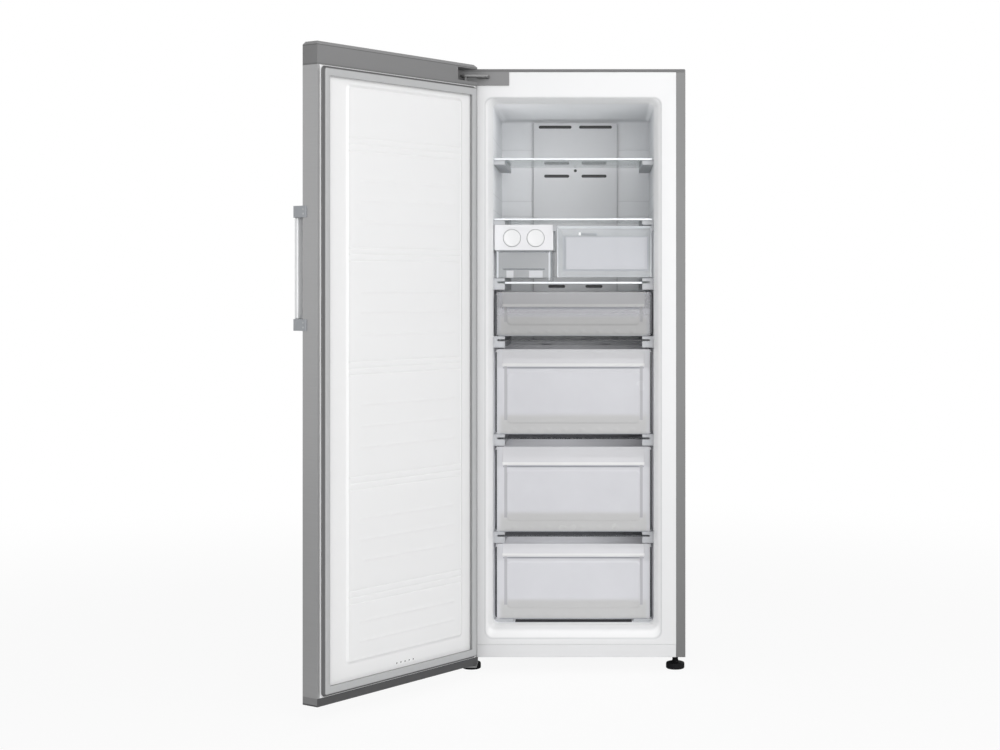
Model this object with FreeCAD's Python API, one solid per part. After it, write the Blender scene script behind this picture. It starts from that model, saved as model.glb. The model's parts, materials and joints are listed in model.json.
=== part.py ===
import FreeCAD, Part
import math
import os

# An upright freezer with its door open, in millimetres.
# The pieces are drawn in the cabinet's own frame: x runs right from the cabinet's middle,
# y runs back from its front plane and z runs up from the floor. Door pieces are drawn shut
# and then swung open. At the end everything moves so that the origin lies on the floor
# under the middle of the whole footprint, door included.

# ---------------------------------------------------------------- cabinet
cabinet_width = 600.0
cabinet_depth = 590.0
cabinet_bottom = 40.0
roof_thickness = 88.0
steel_sheet = 0.8
cabinet_corner = 3.0
side_flange = 25.0
top_strip_height = 8.0
top_strip_thickness = 1.5
front_seam_height = 74.0
seam_gap = 0.5
plastic_wall = 2.5
front_plate = 2.0
running_gap = 0.3
shaft_gap = 0.05
# how far a cutting shape runs past the face that it opens
past = 1.0

# the cold space: compartments are stacked up from its floor
cavity_bottom = 122.0
cavity_radius = 14.0
mitre_share = 0.5
side_wall = 83.0
back_wall = 80.0
step_depth = 158.0
step_below_rail = 5.0
floor_space = 231.0
deep_drawer_space = 264.0
middle_drawer_space = 266.0
shallow_drawer_space = 157.0
ice_maker_space = 172.0
second_shelf_space = 163.0
top_shelf_space = 149.0

# the mouth of the cold space narrows in two stages
mouth_side_flare = 18.5
mouth_bottom_flare = 34.0
mouth_top_flare = 11.0
mouth_radius = 22.0
lip_side_flare = 10.5
lip_bottom_flare = 10.0
lip_top_flare = 8.0
lip_depth = 8.0
lip_radius = 20.0
throat_depth = 30.0

# base pressing and machine space
pressing = 2.0
machine_setback = 36.0
machine_roof_foam = 44.0
machine_floor = 42.0

# ---------------------------------------------------------------- door
door_thickness = 54.0
door_bottom = 30.0
door_overlap = 6.0
seal_gap = 12.0
hinge_inset = 15.0
hinge_forward = 40.0
open_angle = 125.5
hinge_side_radius = 29.0
free_side_radius = 9.0
top_cap_height = 57.0
bottom_cap_height = 20.0
cap_chamfer = 7.0
cap_wall = 3.0
skin_return = 8.0
gasket_outer_inset = 11.0
gasket_width = 22.0
gasket_top_width = 24.0
gasket_bottom_width = 24.0
gasket_end_gap = 2.0
gasket_outer_radius = 8.0
gasket_inner_radius = 4.0
plug_inset = 80.0
plug_shift = -17.0
plug_bottom_drop = 9.0
plug_rise = 4.0
plug_draft = 4.0
plug_radius = 10.0
ridge_groups = (1378.0, 1110.0, 832.0, 552.0, 275.0)
ridge_pitch = 16.0
ridge_width = 6.0
ridge_depth = 1.2
ridge_margin = 4.0
drain_hole_count = 5
drain_hole_pitch = 15.5
drain_hole_middle = -14.0
drain_hole_diameter = 4.0
drain_hole_height = 87.0

# handle
handle_bottom = 925.0
handle_top = 1225.0
handle_end_height = 28.0
handle_reach = 35.0
handle_bar_width = 20.0
handle_bar_depth = 12.0
handle_bar_inset = 12.0
handle_wrap = 19.0
handle_wrap_thickness = 2.5
handle_screw_diameter = 5.0
handle_screw_head = 0.7
handle_bevel = 12.0
handle_bracket_margin = 4.0
handle_bar_edge = 4.0
handle_screw_shares = (0.3, 0.7)

# hinges
pin_diameter = 10.0
bush_wall = 4.0
washer_radius = 12.0
washer_height = 2.0
pocket_length = 79.0
pocket_outer_wall = 12.0
pocket_roof = 12.0
pocket_height = 34.0
arm_thickness = 6.0
arm_rise = 14.0
arm_half_width = 12.0
arm_inner = 30.0
arm_outer = 60.0
hinge_plate_thickness = 3.0
hinge_plate_drop = 12.0
hinge_plate_height = 27.0
hinge_plate_length = 118.0
cover_end_margin = 11.0
cover_height = 36.0
cover_depth = 6.0
cover_wall = 1.2
hinge_screw_diameter = 8.0
hinge_screw_head = 1.5
lower_arm_bottom = 23.0
lower_arm_thickness = 4.0
lower_arm_width = 44.0
lower_arm_inset = 1.0
lower_arm_rim = 2.0
lower_seat_depth = 64.0
lower_seat_hole_gap = 0.5
upper_pin_drop = 4.0
lower_pin_drop = 4.0

# ---------------------------------------------------------------- shelves and drawers
glass_thickness = 4.0
glass_front = 66.0
glass_back_gap = 90.0
glass_grip = 20.0
shelf_side_gap = 3.0
trim_height = 6.0
trim_depth = 4.0
rail_width = 31.0
rail_below = 18.0
ledge_depth = 14.0
rail_above = 13.7
rail_front = 68.0
rail_back_gap = 70.0
floor_rail_width = 55.0
floor_rail_height = 8.7
drawer_front_face = 62.0
drawer_wall = 3.0
drawer_side_gap = 5.0
drawer_flange = 3.0
drawer_back_gap = 10.0
drawer_bottom_radius = 12.0
drawer_top_gaps = (6.0, 4.0, 2.0, 1.0)
drawer_grip_drops = (41.0, 47.0, 50.0, 34.0)
low_drawer_back_gap = 7.0
grip_reach = 9.0
grip_height = 34.0
grip_inset = 22.0
grip_lip = 2.5
grip_edge = 6.0
grip_thickness = 12.0

# ice maker, ice bucket and flap
ice_side_gap = 3.0
ice_width = 159.0
ice_case_height = 69.0
ice_front = 60.0
ice_back_gap = 110.0
knob_diameter = 46.0
knob_drop = 36.0
knob_inset = 47.5
knob_thickness = 5.0
knob_recess = 2.0
knob_ring_gap = 0.8
knob_shaft_diameter = 10.0
knob_edge_radius = 1.0
knob_boss_rim = 3.0
knob_boss_depth = 6.0
tray_stub_diameter = 8.0
tray_half_width = 25.0
tray_below = 15.0
tray_above = 12.0
tray_wall = 1.5
tray_rows = 7
tray_divider_height = 12.0
tray_start = 76.0
tray_back_gap = 12.0
bucket_side_gap = 3.0
bucket_top_gap = 1.0
bucket_back_gap = 10.0
bucket_runner = 8.0
bucket_runner_inset = 4.0
flap_left_gap = 11.0
flap_right_gap = 6.0
flap_bottom_gap = 12.0
flap_top_gap = 3.0
flap_thickness = 5.0
flap_pane = 2.5
flap_frame = 18.0
flap_axis_drop = 7.0
flap_pin_diameter = 6.0
flap_pin_length = 4.5
flap_pin_root = 6.0
flap_edge_height = 4.0
flap_block_height = 17.0
flap_block_depth = 14.0
flap_hole_end = 1.0

# ---------------------------------------------------------------- air path and cooling
duct_half_width = 124.0
duct_top_gap = 12.0
duct_depth = 12.0
slot_height = 9.0
slot_end_share = 0.49
top_slot_drop = 11.5
upper_slot_drop = 19.0
lower_slot_drop = 9.0
top_slot_span = (11.0, 108.0)
upper_slot_span = (18.0, 92.0)
lower_slot_span = (30.0, 80.0)
sensor_drop = 3.0
sensor_diameter = 9.0
evaporator_space = 60.0
evaporator_cover_rise = 5.0
cover_slot_drops = (27.0, 38.0)
cover_slot_span = (72.0, 99.0)
cover_slot_height = 5.0
coil_side_gap = 27.0
coil_bottom_gap = 70.0
coil_top_gap = 148.0
coil_front_gap = 8.0
coil_depth = 40.0
coil_fins = 24
coil_fin_thickness = 1.0
coil_tube_rows = 6
coil_tube_diameter = 8.0
coil_end_plate = 2.0
coil_tube_places = (0.28, 0.72)
coil_tube_overhang = 10.0
fan_drop = 73.0
fan_radius = 52.0
fan_hub_radius = 14.0
fan_front_gap = 14.0
fan_hub_length = 14.0
fan_blades = 5
fan_blade_thickness = 2.0
fan_blade_pitch = 28.0
fan_blade_chord = 26.0
fan_blade_root = 3.0
motor_radius = 24.0
motor_fan_gap = 4.0
motor_plate = 4.0
motor_plate_half = 34.0
motor_shaft_diameter = 6.0
compressor_x = -110.0
compressor_from_back = 98.0
compressor_radius = 72.0
compressor_bottom = 62.0
compressor_height = 158.0
compressor_dome = 22.0
compressor_foot_half = 88.0
compressor_foot_depth = 58.0
compressor_foot_thickness = 3.0
compressor_band = 2.0
compressor_band_height = 6.0
suction_radius = 4.0
suction_drop = 50.0
discharge_radius = 3.0
discharge_drop = 80.0
stub_length = 40.0
relay_depth = 22.0
relay_half_width = 24.0
relay_bottom = 60.0
relay_height = 50.0
mount_inset_x = 14.0
mount_inset_y = 12.0
mount_neck = 5.0
mount_radius = 13.0
mount_hole_radius = 5.0
drip_tray_half_width = 85.0
drip_tray_half_depth = 68.0
drip_tray_height = 22.0
drain_tube_diameter = 14.0
drain_tube_wall = 1.5
drain_share = 0.62
drain_overlap = 6.0
rear_cover_thickness = 2.0
vent_slots = 12
vent_slot_width = 8.0
vent_slot_pitch = 20.0
vent_slot_margin = 40.0
inlet_x = 230.0
inlet_height = 96.0
inlet_radius = 11.0
inlet_neck_radius = 8.0
inlet_bore_radius = 4.0
inlet_length = 12.0

# ---------------------------------------------------------------- feet and rollers
foot_radius = 25.0
foot_disc_height = 14.0
foot_edge_radius = 3.0
foot_setback = 52.0
foot_stem_radius = 8.0
foot_stem_top = 66.0
foot_boss_radius = 14.0
roller_radius = 20.0
roller_width = 16.0
roller_inset = 38.0
roller_from_back = 45.0
roller_axle_radius = 4.0
roller_cheek = 2.0
roller_cheek_half = 14.0
roller_side_gap = 0.5
roller_cheek_rim = 4.0

# ---------------------------------------------------------------- worked-out places
half_width = cabinet_width / 2
half_cavity = half_width - side_wall
inner_half = half_width - steel_sheet
inner_back = cabinet_depth - steel_sheet
face_half = half_width - side_flange

glass_6 = cavity_bottom + floor_space
glass_5 = glass_6 + deep_drawer_space
glass_4 = glass_5 + middle_drawer_space
glass_3 = glass_4 + shallow_drawer_space
glass_2 = glass_3 + ice_maker_space
glass_1 = glass_2 + second_shelf_space
glass_heights = (glass_1, glass_2, glass_3, glass_4, glass_5, glass_6)
cavity_top = glass_1 + top_shelf_space
cabinet_top = cavity_top + roof_thickness
face_top = cabinet_top - top_strip_height
foam_bottom = front_seam_height
lip_bottom = cavity_bottom - lip_bottom_flare
lip_top = cavity_top + lip_top_flare
lip_half = half_cavity + lip_side_flare
mouth_bottom = cavity_bottom - mouth_bottom_flare
mouth_top = cavity_top + mouth_top_flare
mouth_half = half_cavity + mouth_side_flare

cavity_back = cabinet_depth - back_wall
step_front = cavity_back - step_depth
step_top = glass_6 - rail_below - step_below_rail
machine_front = step_front + machine_setback
machine_roof = step_top - machine_roof_foam
machine_face = machine_front + pressing
compressor_y = cabinet_depth - compressor_from_back

door_inner = -seal_gap
door_outer = door_inner - door_thickness
door_top = cabinet_top + door_overlap
hinge_x = -half_width + hinge_inset
hinge_y = -hinge_forward
skin_bottom = door_bottom + bottom_cap_height
skin_top = door_top - top_cap_height
plug_bottom = cavity_bottom - plug_bottom_drop
plug_top = cavity_top
pocket_top = door_top - pocket_roof
pocket_bottom = pocket_top - pocket_height
arm_bottom = pocket_bottom + arm_rise
hinge_plate_top = cabinet_top - hinge_plate_drop
hinge_plate_bottom = hinge_plate_top - hinge_plate_height
hinge_plate_right = -half_width + hinge_plate_length
cover_right = hinge_plate_right + cover_end_margin
cover_bottom = face_top - cover_height
handle_tip = half_width + handle_wrap_thickness - handle_bevel
handle_out = door_outer - handle_reach

foot_x = half_width - foot_radius
roller_x = half_width - roller_inset
roller_y = cabinet_depth - roller_from_back

glass_back = cavity_back - glass_back_gap
rail_back = cavity_back - rail_back_gap
drawer_front_width = 2 * (half_cavity - drawer_side_gap)
drawer_body_width = drawer_front_width - 2 * drawer_flange
drawer_back = rail_back - drawer_back_gap
low_drawer_back = step_front - low_drawer_back_gap

ice_left = -half_cavity + ice_side_gap
ice_right = ice_left + ice_width
ice_top = glass_2 - ledge_depth
ice_bottom = ice_top - ice_case_height
ice_back = cavity_back - ice_back_gap
knob_height = ice_top - knob_drop
knob_centres = (ice_left + knob_inset, ice_right - knob_inset)
tray_end = ice_back - tray_back_gap
bucket_left = ice_left + bucket_side_gap
bucket_right = ice_right - bucket_side_gap
bucket_bottom = glass_3 + rail_above + running_gap
bucket_top = ice_bottom - bucket_top_gap
bucket_back = ice_back - bucket_back_gap
flap_left = ice_right + flap_left_gap
flap_right = half_cavity - flap_right_gap
flap_bottom = glass_3 + glass_thickness + flap_bottom_gap
flap_top = ice_top - flap_top_gap
flap_axis_y = ice_front + flap_thickness / 2
flap_axis_height = flap_top - flap_axis_drop

evaporator_cover_front = cavity_back - evaporator_space
evaporator_cover_bottom = step_top
evaporator_cover_top = glass_4 + evaporator_cover_rise
duct_bottom = evaporator_cover_top
duct_top = cavity_top - duct_top_gap
sensor_hole = glass_1 - sensor_drop
duct_slots = (
    (duct_top - top_slot_drop, top_slot_span),
    (glass_1 - upper_slot_drop, upper_slot_span),
    (glass_3 - lower_slot_drop, lower_slot_span),
)
cover_slots = [(evaporator_cover_top - drop, cover_slot_span) for drop in cover_slot_drops]
coil_half_width = half_cavity - coil_side_gap
coil_bottom = evaporator_cover_bottom + coil_bottom_gap
coil_top = evaporator_cover_top - coil_top_gap
coil_front = evaporator_cover_front + coil_front_gap
fan_height = evaporator_cover_top - fan_drop
fan_hub_front = evaporator_cover_front + fan_front_gap
motor_front = fan_hub_front + fan_hub_length + motor_fan_gap


def vec(x, y, z):
    return FreeCAD.Vector(x, y, z)


UP = vec(0, 0, 1)
ALONG_X = vec(1, 0, 0)
ALONG_Y = vec(0, 1, 0)


def swung(x, y):
    """A point of the shut door, given from the hinge line, once the door is open."""
    turn = math.radians(open_angle)
    return (
        hinge_x + x * math.cos(turn) + y * math.sin(turn),
        hinge_y - x * math.sin(turn) + y * math.cos(turn),
    )


handle_corner = swung(handle_tip - hinge_x, handle_out - hinge_y)
door_corner = swung(half_width - hinge_x, door_inner - hinge_y)
shift_x = -(handle_corner[0] + half_width) / 2
shift_y = -(door_corner[1] + cabinet_depth) / 2


# ---------------------------------------------------------------- shape helpers
def block(x0, x1, y0, y1, z0, z1):
    return Part.makeBox(x1 - x0, y1 - y0, z1 - z0, vec(x0, y0, z0))


def rod(radius, start, direction, length):
    return Part.makeCylinder(radius, length, start, direction)


def fuse(shapes):
    return shapes[0].multiFuse(shapes[1:]).removeSplitter()


def prism_x(points, x0, x1):
    """A closed outline of (y, z) points carried from x0 to x1."""
    corners = [vec(x0, y, z) for y, z in points]
    return Part.Face(Part.makePolygon(corners + corners[:1])).extrude(vec(x1 - x0, 0, 0))


def prism_y(points, y0, y1):
    """A closed outline of (x, z) points carried from y0 to y1."""
    corners = [vec(x, y0, z) for x, z in points]
    return Part.Face(Part.makePolygon(corners + corners[:1])).extrude(vec(0, y1 - y0, 0))


def round_rect(half, z0, z1, radius, y):
    """A closed upright rectangle with round corners at depth y."""
    diagonal = radius * (1 - math.sqrt(0.5))
    edges = []
    corners = (
        (half, z0, 1, -1),
        (half, z1, 1, 1),
        (-half, z1, -1, 1),
        (-half, z0, -1, -1),
    )
    points = []
    for x, z, sx, sz in corners:
        beside = vec(x, y, z - sz * radius)
        above = vec(x - sx * radius, y, z)
        middle = vec(x - sx * diagonal, y, z - sz * diagonal)
        first, last = (above, beside) if sx * sz < 0 else (beside, above)
        points.append((first, middle, last))
    for i, (first, middle, last) in enumerate(points):
        edges.append(Part.Arc(first, middle, last).toShape())
        edges.append(Part.makeLine(last, points[(i + 1) % 4][0]))
    return Part.Wire(edges)


def upright_slab(half, z0, z1, radius, y0, y1):
    return Part.Face(round_rect(half, z0, z1, radius, y0)).extrude(vec(0, y1 - y0, 0))


def funnel(front, back):
    return Part.makeLoft([round_rect(*front), round_rect(*back)], True, True)


def save(name, shape, on_door=False):
    """Move one piece to the whole object's frame and write it."""
    placed = shape.copy()
    if on_door:
        placed.rotate(vec(hinge_x, hinge_y, 0), UP, -open_angle)
    placed.translate(vec(shift_x, shift_y, 0))
    placed.exportStep("parts/" + name + ".step")
    print(name, len(placed.Solids), round(placed.Volume), placed.isValid())


# ---------------------------------------------------------------- cabinet body
def outer_shell():
    """Bent sheet: two sides and a top, with a return flange round the front."""
    body = block(-half_width, half_width, 0, cabinet_depth, cabinet_bottom, cabinet_top)
    long_edges = [
        e for e in body.Edges
        if e.BoundBox.YLength > cabinet_depth / 2 and e.BoundBox.ZMin > cabinet_top / 2
    ]
    body = body.makeFillet(cabinet_corner, long_edges)
    inside = block(
        -inner_half, inner_half, steel_sheet, cabinet_depth + past,
        cabinet_bottom - past, cabinet_top - steel_sheet,
    )
    hole = block(
        -face_half, face_half, -past, steel_sheet + past, cabinet_bottom - past, face_top,
    )
    return body.cut(inside).cut(hole)


def back_panel():
    return block(
        -inner_half, inner_half, inner_back, cabinet_depth,
        machine_roof, cabinet_top - steel_sheet,
    )


def top_front_trim():
    return block(
        -half_width + cabinet_corner, half_width - cabinet_corner,
        -top_strip_thickness, 0, face_top, cabinet_top,
    )


def lower_front_panel():
    return block(
        -face_half, face_half, 0, plastic_wall,
        cabinet_bottom, front_seam_height - seam_gap,
    )


def mouth(grow):
    """The narrowing entry of the cold space, larger all round by grow."""
    outer = (mouth_half + grow, mouth_bottom - grow, mouth_top + grow, mouth_radius + grow, 0)
    lip = (lip_half + grow, lip_bottom - grow, lip_top + grow, lip_radius + grow, lip_depth)
    throat = (
        half_cavity + grow, cavity_bottom - grow, cavity_top + grow,
        cavity_radius + grow, throat_depth,
    )
    return funnel(outer, lip).fuse(funnel(lip, throat))


def cavity(grow):
    """The cold space behind its mouth, with the step over the machine space."""
    room = upright_slab(
        half_cavity + grow, cavity_bottom - grow, cavity_top + grow,
        cavity_radius + grow, throat_depth, cavity_back + grow,
    )
    step = block(
        -half_width, half_width, step_front + grow, cavity_back + grow + past,
        0, step_top - grow,
    )
    return room.cut(step)


def inner_liner():
    """One moulded tub with a flat rim that makes the cabinet's white front."""
    rim = block(-face_half, face_half, 0, front_plate, front_seam_height, face_top)
    tub = rim.fuse(mouth(plastic_wall)).fuse(cavity(plastic_wall))
    return tub.cut(mouth(0)).cut(cavity(0)).removeSplitter()


def drain_axis():
    return compressor_x, step_front + (cavity_back - step_front) * drain_share


def mitred(z_inner, z_outer):
    """The roof's or floor's share of the foam, cut off along the two corner mitres."""
    inner_x = half_cavity + plastic_wall
    run = half_width - inner_x
    rise = z_outer - z_inner
    near = (inner_x - mitre_share * run, z_inner - mitre_share * rise)
    far = (inner_x + (1 + mitre_share) * run, z_inner + (1 + mitre_share) * rise)
    outline = [(-near[0], near[1]), near, far, (-far[0], far[1])]
    return prism_y(outline, 0, cabinet_depth)


def foam_insulation():
    """Slabs that touch and fill all between the shell, the liner and the base pressing."""
    room = half_cavity + plastic_wall
    fill = foam_fill()
    back = block(
        -half_width, half_width, cavity_back + plastic_wall, cabinet_depth, 0, cabinet_top,
    )
    step = block(
        -room, room, step_front, cavity_back + plastic_wall, cavity_bottom - plastic_wall, step_top,
    )
    step_roof = block(-room, room, step_front, cabinet_depth, machine_roof, step_top)
    roof = mitred(cavity_top + plastic_wall, cabinet_top)
    floor = mitred(cavity_bottom - plastic_wall, cabinet_bottom)
    rest = fill.cut(back).cut(step)
    slabs = [
        fill.common(back),
        fill.common(step).common(step_roof),
        fill.common(step).cut(step_roof),
        rest.common(roof),
        rest.common(floor),
    ]
    sides = rest.cut(roof).cut(floor)
    return Part.makeCompound([solid for slab in slabs + [sides] for solid in slab.Solids])


def foam_fill():
    """All the space that the foam takes."""
    fill = block(
        -inner_half, inner_half, steel_sheet, inner_back,
        foam_bottom, cabinet_top - steel_sheet,
    )
    fill = fill.cut(block(-face_half, face_half, 0, front_plate, foam_bottom, face_top))
    fill = fill.cut(block(
        -half_width, half_width, machine_front, cabinet_depth, 0, machine_roof,
    ))
    fill = fill.cut(mouth(plastic_wall)).cut(cavity(plastic_wall))
    x, y = drain_axis()
    return fill.cut(rod(drain_tube_diameter / 2, vec(x, y, 0), UP, step_top))


def base_frame():
    """Bent base: foam floor, machine step, side rails and the feet's bosses."""
    front = plastic_wall
    roof = block(-inner_half, inner_half, front, machine_face, foam_bottom - pressing, foam_bottom)
    lip = block(-face_half, face_half, front, front + pressing, cabinet_bottom, foam_bottom)
    wall = block(-inner_half, inner_half, machine_front, machine_face, machine_floor, machine_roof)
    top = block(
        -inner_half, inner_half, machine_front, inner_back,
        machine_roof - pressing, machine_roof,
    )
    floor = block(
        -inner_half, inner_half, machine_front, inner_back,
        machine_floor, machine_floor + pressing,
    )
    rails = []
    for side in (-1, 1):
        outer = side * inner_half
        inner = side * (inner_half - pressing)
        rails.append(block(
            min(outer, inner), max(outer, inner), front, inner_back,
            cabinet_bottom, foam_bottom,
        ))
        rails.append(block(
            min(outer, inner), max(outer, inner), machine_front, inner_back,
            machine_floor, machine_roof,
        ))
        centre = vec(side * foot_x, foot_setback, cabinet_bottom)
        rails.append(rod(foot_boss_radius, centre, UP, foam_bottom - pressing - cabinet_bottom))
    frame = fuse([roof, lip, wall, top, floor] + rails)
    for side in (-1, 1):
        start = vec(side * foot_x, foot_setback, 0)
        frame = frame.cut(rod(foot_stem_radius + shaft_gap, start, UP, foot_stem_top + past))
    x, y = drain_axis()
    above_floor = vec(x, y, machine_floor + pressing)
    frame = frame.cut(rod(drain_tube_diameter / 2, above_floor, UP, machine_roof))
    keep = block(-inner_half, inner_half, front, inner_back, 0, machine_roof)
    return frame.common(keep)


# ---------------------------------------------------------------- feet and rollers
def front_foot(side):
    """Round foot on a threaded stem."""
    centre = vec(side * foot_x, foot_setback, 0)
    disc = rod(foot_radius, centre, UP, foot_disc_height)
    edges = [e for e in disc.Edges if len(e.Vertexes) == 1 and e.BoundBox.ZMin > foot_disc_height / 2]
    disc = disc.makeFillet(foot_edge_radius, edges)
    stem = rod(foot_stem_radius, centre, UP, foot_stem_top)
    return disc.fuse(stem).removeSplitter()


def roller_brackets():
    """Two cheeks and an axle pin for each rear roller."""
    groups = []
    reach = roller_width / 2 + roller_side_gap
    for side in (-1, 1):
        x = side * roller_x
        pieces = []
        for cheek in (-1, 1):
            near = x + cheek * reach
            far = near + cheek * roller_cheek
            pieces.append(block(
                min(near, far), max(near, far),
                roller_y - roller_cheek_half, roller_y + roller_cheek_half,
                roller_radius - roller_axle_radius - roller_cheek_rim, machine_floor,
            ))
        length = 2 * (reach + roller_cheek)
        start = vec(x - length / 2, roller_y, roller_radius)
        pieces.append(rod(roller_axle_radius, start, ALONG_X, length))
        groups.append(fuse(pieces))
    return Part.makeCompound(groups)


def rear_roller(side):
    start = vec(side * roller_x - roller_width / 2, roller_y, roller_radius)
    wheel = rod(roller_radius, start, ALONG_X, roller_width)
    return wheel.cut(rod(roller_axle_radius + shaft_gap, start, ALONG_X, roller_width))


# ---------------------------------------------------------------- hinges
def top_hinge():
    """Cranked arm on a wall plate, with its pin pointing down into the door."""
    arm_top = arm_bottom + arm_thickness
    plate = block(
        hinge_x + arm_inner - arm_half_width, hinge_plate_right,
        -hinge_plate_thickness, 0, hinge_plate_bottom, hinge_plate_top,
    )
    reach = block(
        hinge_x + arm_inner, hinge_x + arm_outer,
        hinge_y - arm_half_width, -hinge_plate_thickness, arm_bottom, arm_top,
    )
    crank = block(
        hinge_x, hinge_x + arm_outer,
        hinge_y - arm_half_width, hinge_y + arm_half_width, arm_bottom, arm_top,
    )
    eye = rod(arm_half_width, vec(hinge_x, hinge_y, arm_bottom), UP, arm_thickness)
    pin_bottom = skin_top - upper_pin_drop
    pin = rod(pin_diameter / 2, vec(hinge_x, hinge_y, pin_bottom), UP, arm_top - pin_bottom)
    return fuse([plate, reach, crank, eye, pin])


def hinge_screw_places():
    gap = (hinge_plate_right - (hinge_x + arm_outer)) / 3
    height = (hinge_plate_bottom + hinge_plate_top) / 2
    return [vec(hinge_x + arm_outer + gap * n, -hinge_plate_thickness, height) for n in (1, 2)]


def hinge_screws():
    heads = [
        rod(hinge_screw_diameter / 2, place - ALONG_Y * hinge_screw_head, ALONG_Y, hinge_screw_head)
        for place in hinge_screw_places()
    ]
    return Part.makeCompound(heads)


def hinge_cover():
    """Shallow cap over the wall plate, with a slot that the arm comes through."""
    left = -half_width
    outside = block(left, cover_right, -cover_depth, 0, cover_bottom, face_top)
    inside = block(
        left + cover_wall, cover_right - cover_wall, -cover_depth + cover_wall, 1,
        cover_bottom + cover_wall, face_top - cover_wall,
    )
    slot = block(
        hinge_x + arm_inner - past, hinge_x + arm_outer + past, -cover_depth - past, 0,
        arm_bottom - past, arm_bottom + arm_thickness + past,
    )
    return outside.cut(inside).cut(slot)


def bottom_hinge():
    """Stepped bracket under the cabinet, with its pin pointing up into the door."""
    left = -half_width + lower_arm_inset
    right = left + lower_arm_width
    arm_top = lower_arm_bottom + lower_arm_thickness
    arm_front = hinge_y - washer_radius - lower_arm_rim
    web_front = plastic_wall + pressing
    web_back = web_front + lower_arm_thickness
    arm = block(left, right, arm_front, web_back, lower_arm_bottom, arm_top)
    web = block(left, right, web_front, web_back, lower_arm_bottom, cabinet_bottom)
    seat = block(
        left, right, web_front, web_front + lower_seat_depth,
        cabinet_bottom - lower_arm_thickness, cabinet_bottom,
    )
    pin_top = skin_bottom - lower_pin_drop
    pin = rod(pin_diameter / 2, vec(hinge_x, hinge_y, lower_arm_bottom), UP, pin_top - lower_arm_bottom)
    bracket = fuse([arm, web, seat, pin])
    centre = vec(-foot_x, foot_setback, 0)
    return bracket.cut(rod(foot_stem_radius + lower_seat_hole_gap, centre, UP, cabinet_bottom + past))


# ---------------------------------------------------------------- door
def door_plan(grow, z0, z1):
    """The door's plan carried upright, smaller all round by grow."""
    left = -half_width + grow
    right = half_width - grow
    back = door_inner - grow
    front = door_outer + grow
    big = hinge_side_radius - grow
    small = free_side_radius - grow
    slope = 1 - math.sqrt(0.5)
    points = {
        "big_start": vec(left, front + big, z0),
        "big_middle": vec(left + big * slope, front + big * slope, z0),
        "big_end": vec(left + big, front, z0),
        "small_start": vec(right - small, front, z0),
        "small_middle": vec(right - small * slope, front + small * slope, z0),
        "small_end": vec(right, front + small, z0),
    }
    edges = [
        Part.makeLine(vec(left, back, z0), points["big_start"]),
        Part.Arc(points["big_start"], points["big_middle"], points["big_end"]).toShape(),
        Part.makeLine(points["big_end"], points["small_start"]),
        Part.Arc(points["small_start"], points["small_middle"], points["small_end"]).toShape(),
        Part.makeLine(points["small_end"], vec(right, back, z0)),
        Part.makeLine(vec(right, back, z0), vec(left, back, z0)),
    ]
    return Part.Face(Part.Wire(edges)).extrude(vec(0, 0, z1 - z0))


def door_skin():
    """Bent sheet round the outer face and both sides, with a narrow return."""
    skin = door_plan(0, skin_bottom, skin_top)
    skin = skin.cut(door_plan(steel_sheet, skin_bottom - past, skin_top + past))
    window = half_width - skin_return
    return skin.cut(block(-window, window, door_inner - 2 * past, door_inner + past, 0, door_top))


def pocket(grow):
    """The space in the top cap that the hinge arm swings in."""
    return block(
        -half_width - past, -half_width + pocket_length + grow,
        door_outer + pocket_outer_wall - grow, door_inner + past,
        pocket_bottom - grow, pocket_top + grow,
    )


def door_top_cap():
    """Hollow end cap with a bevelled top and the hinge pocket."""
    solid = door_plan(0, skin_top, door_top)
    rim = [e for e in solid.Edges if e.BoundBox.ZMin > door_top - past]
    solid = solid.makeChamfer(cap_chamfer, rim)
    hollow = door_plan(cap_wall, skin_top - past, door_top - cap_chamfer - cap_wall)
    cap = solid.cut(hollow.cut(pocket(cap_wall))).cut(pocket(0))
    seat_height = pocket_bottom - skin_top
    seat = rod(bush_radius() + cap_wall, vec(hinge_x, hinge_y, skin_top), UP, seat_height)
    cap = cap.fuse(seat.common(door_plan(0, skin_top, pocket_bottom)))
    bore = rod(bush_radius(), vec(hinge_x, hinge_y, skin_top - past), UP, seat_height + 2 * past)
    return cap.cut(bore).removeSplitter()


def door_bottom_cap():
    """Shallow end cap that holds the lower bush."""
    solid = door_plan(0, door_bottom, skin_bottom)
    hollow = door_plan(cap_wall, door_bottom + cap_wall, skin_bottom + past)
    cap = solid.cut(hollow)
    seat = rod(bush_radius() + cap_wall, vec(hinge_x, hinge_y, door_bottom), UP, bottom_cap_height)
    cap = cap.fuse(seat.common(solid))
    return cap.cut(rod(bush_radius(), vec(hinge_x, hinge_y, 0), UP, door_top)).removeSplitter()


def bush_radius():
    return pin_diameter / 2 + bush_wall


def door_bushes():
    """Plastic bearings that the two hinge pins turn in."""
    bore = pin_diameter / 2 + shaft_gap
    lower_arm_top = lower_arm_bottom + lower_arm_thickness
    washer_bottom = lower_arm_top + running_gap
    lower = rod(washer_radius, vec(hinge_x, hinge_y, washer_bottom), UP, door_bottom - washer_bottom)
    lower = lower.fuse(rod(bush_radius(), vec(hinge_x, hinge_y, door_bottom), UP, bottom_cap_height))
    lower = lower.cut(rod(bore, vec(hinge_x, hinge_y, 0), UP, door_top))
    upper = rod(bush_radius(), vec(hinge_x, hinge_y, skin_top), UP, pocket_bottom - skin_top)
    upper = upper.fuse(rod(washer_radius, vec(hinge_x, hinge_y, pocket_bottom), UP, washer_height))
    upper = upper.cut(rod(bore, vec(hinge_x, hinge_y, 0), UP, door_top))
    return Part.makeCompound([lower.removeSplitter(), upper.removeSplitter()])


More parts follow.
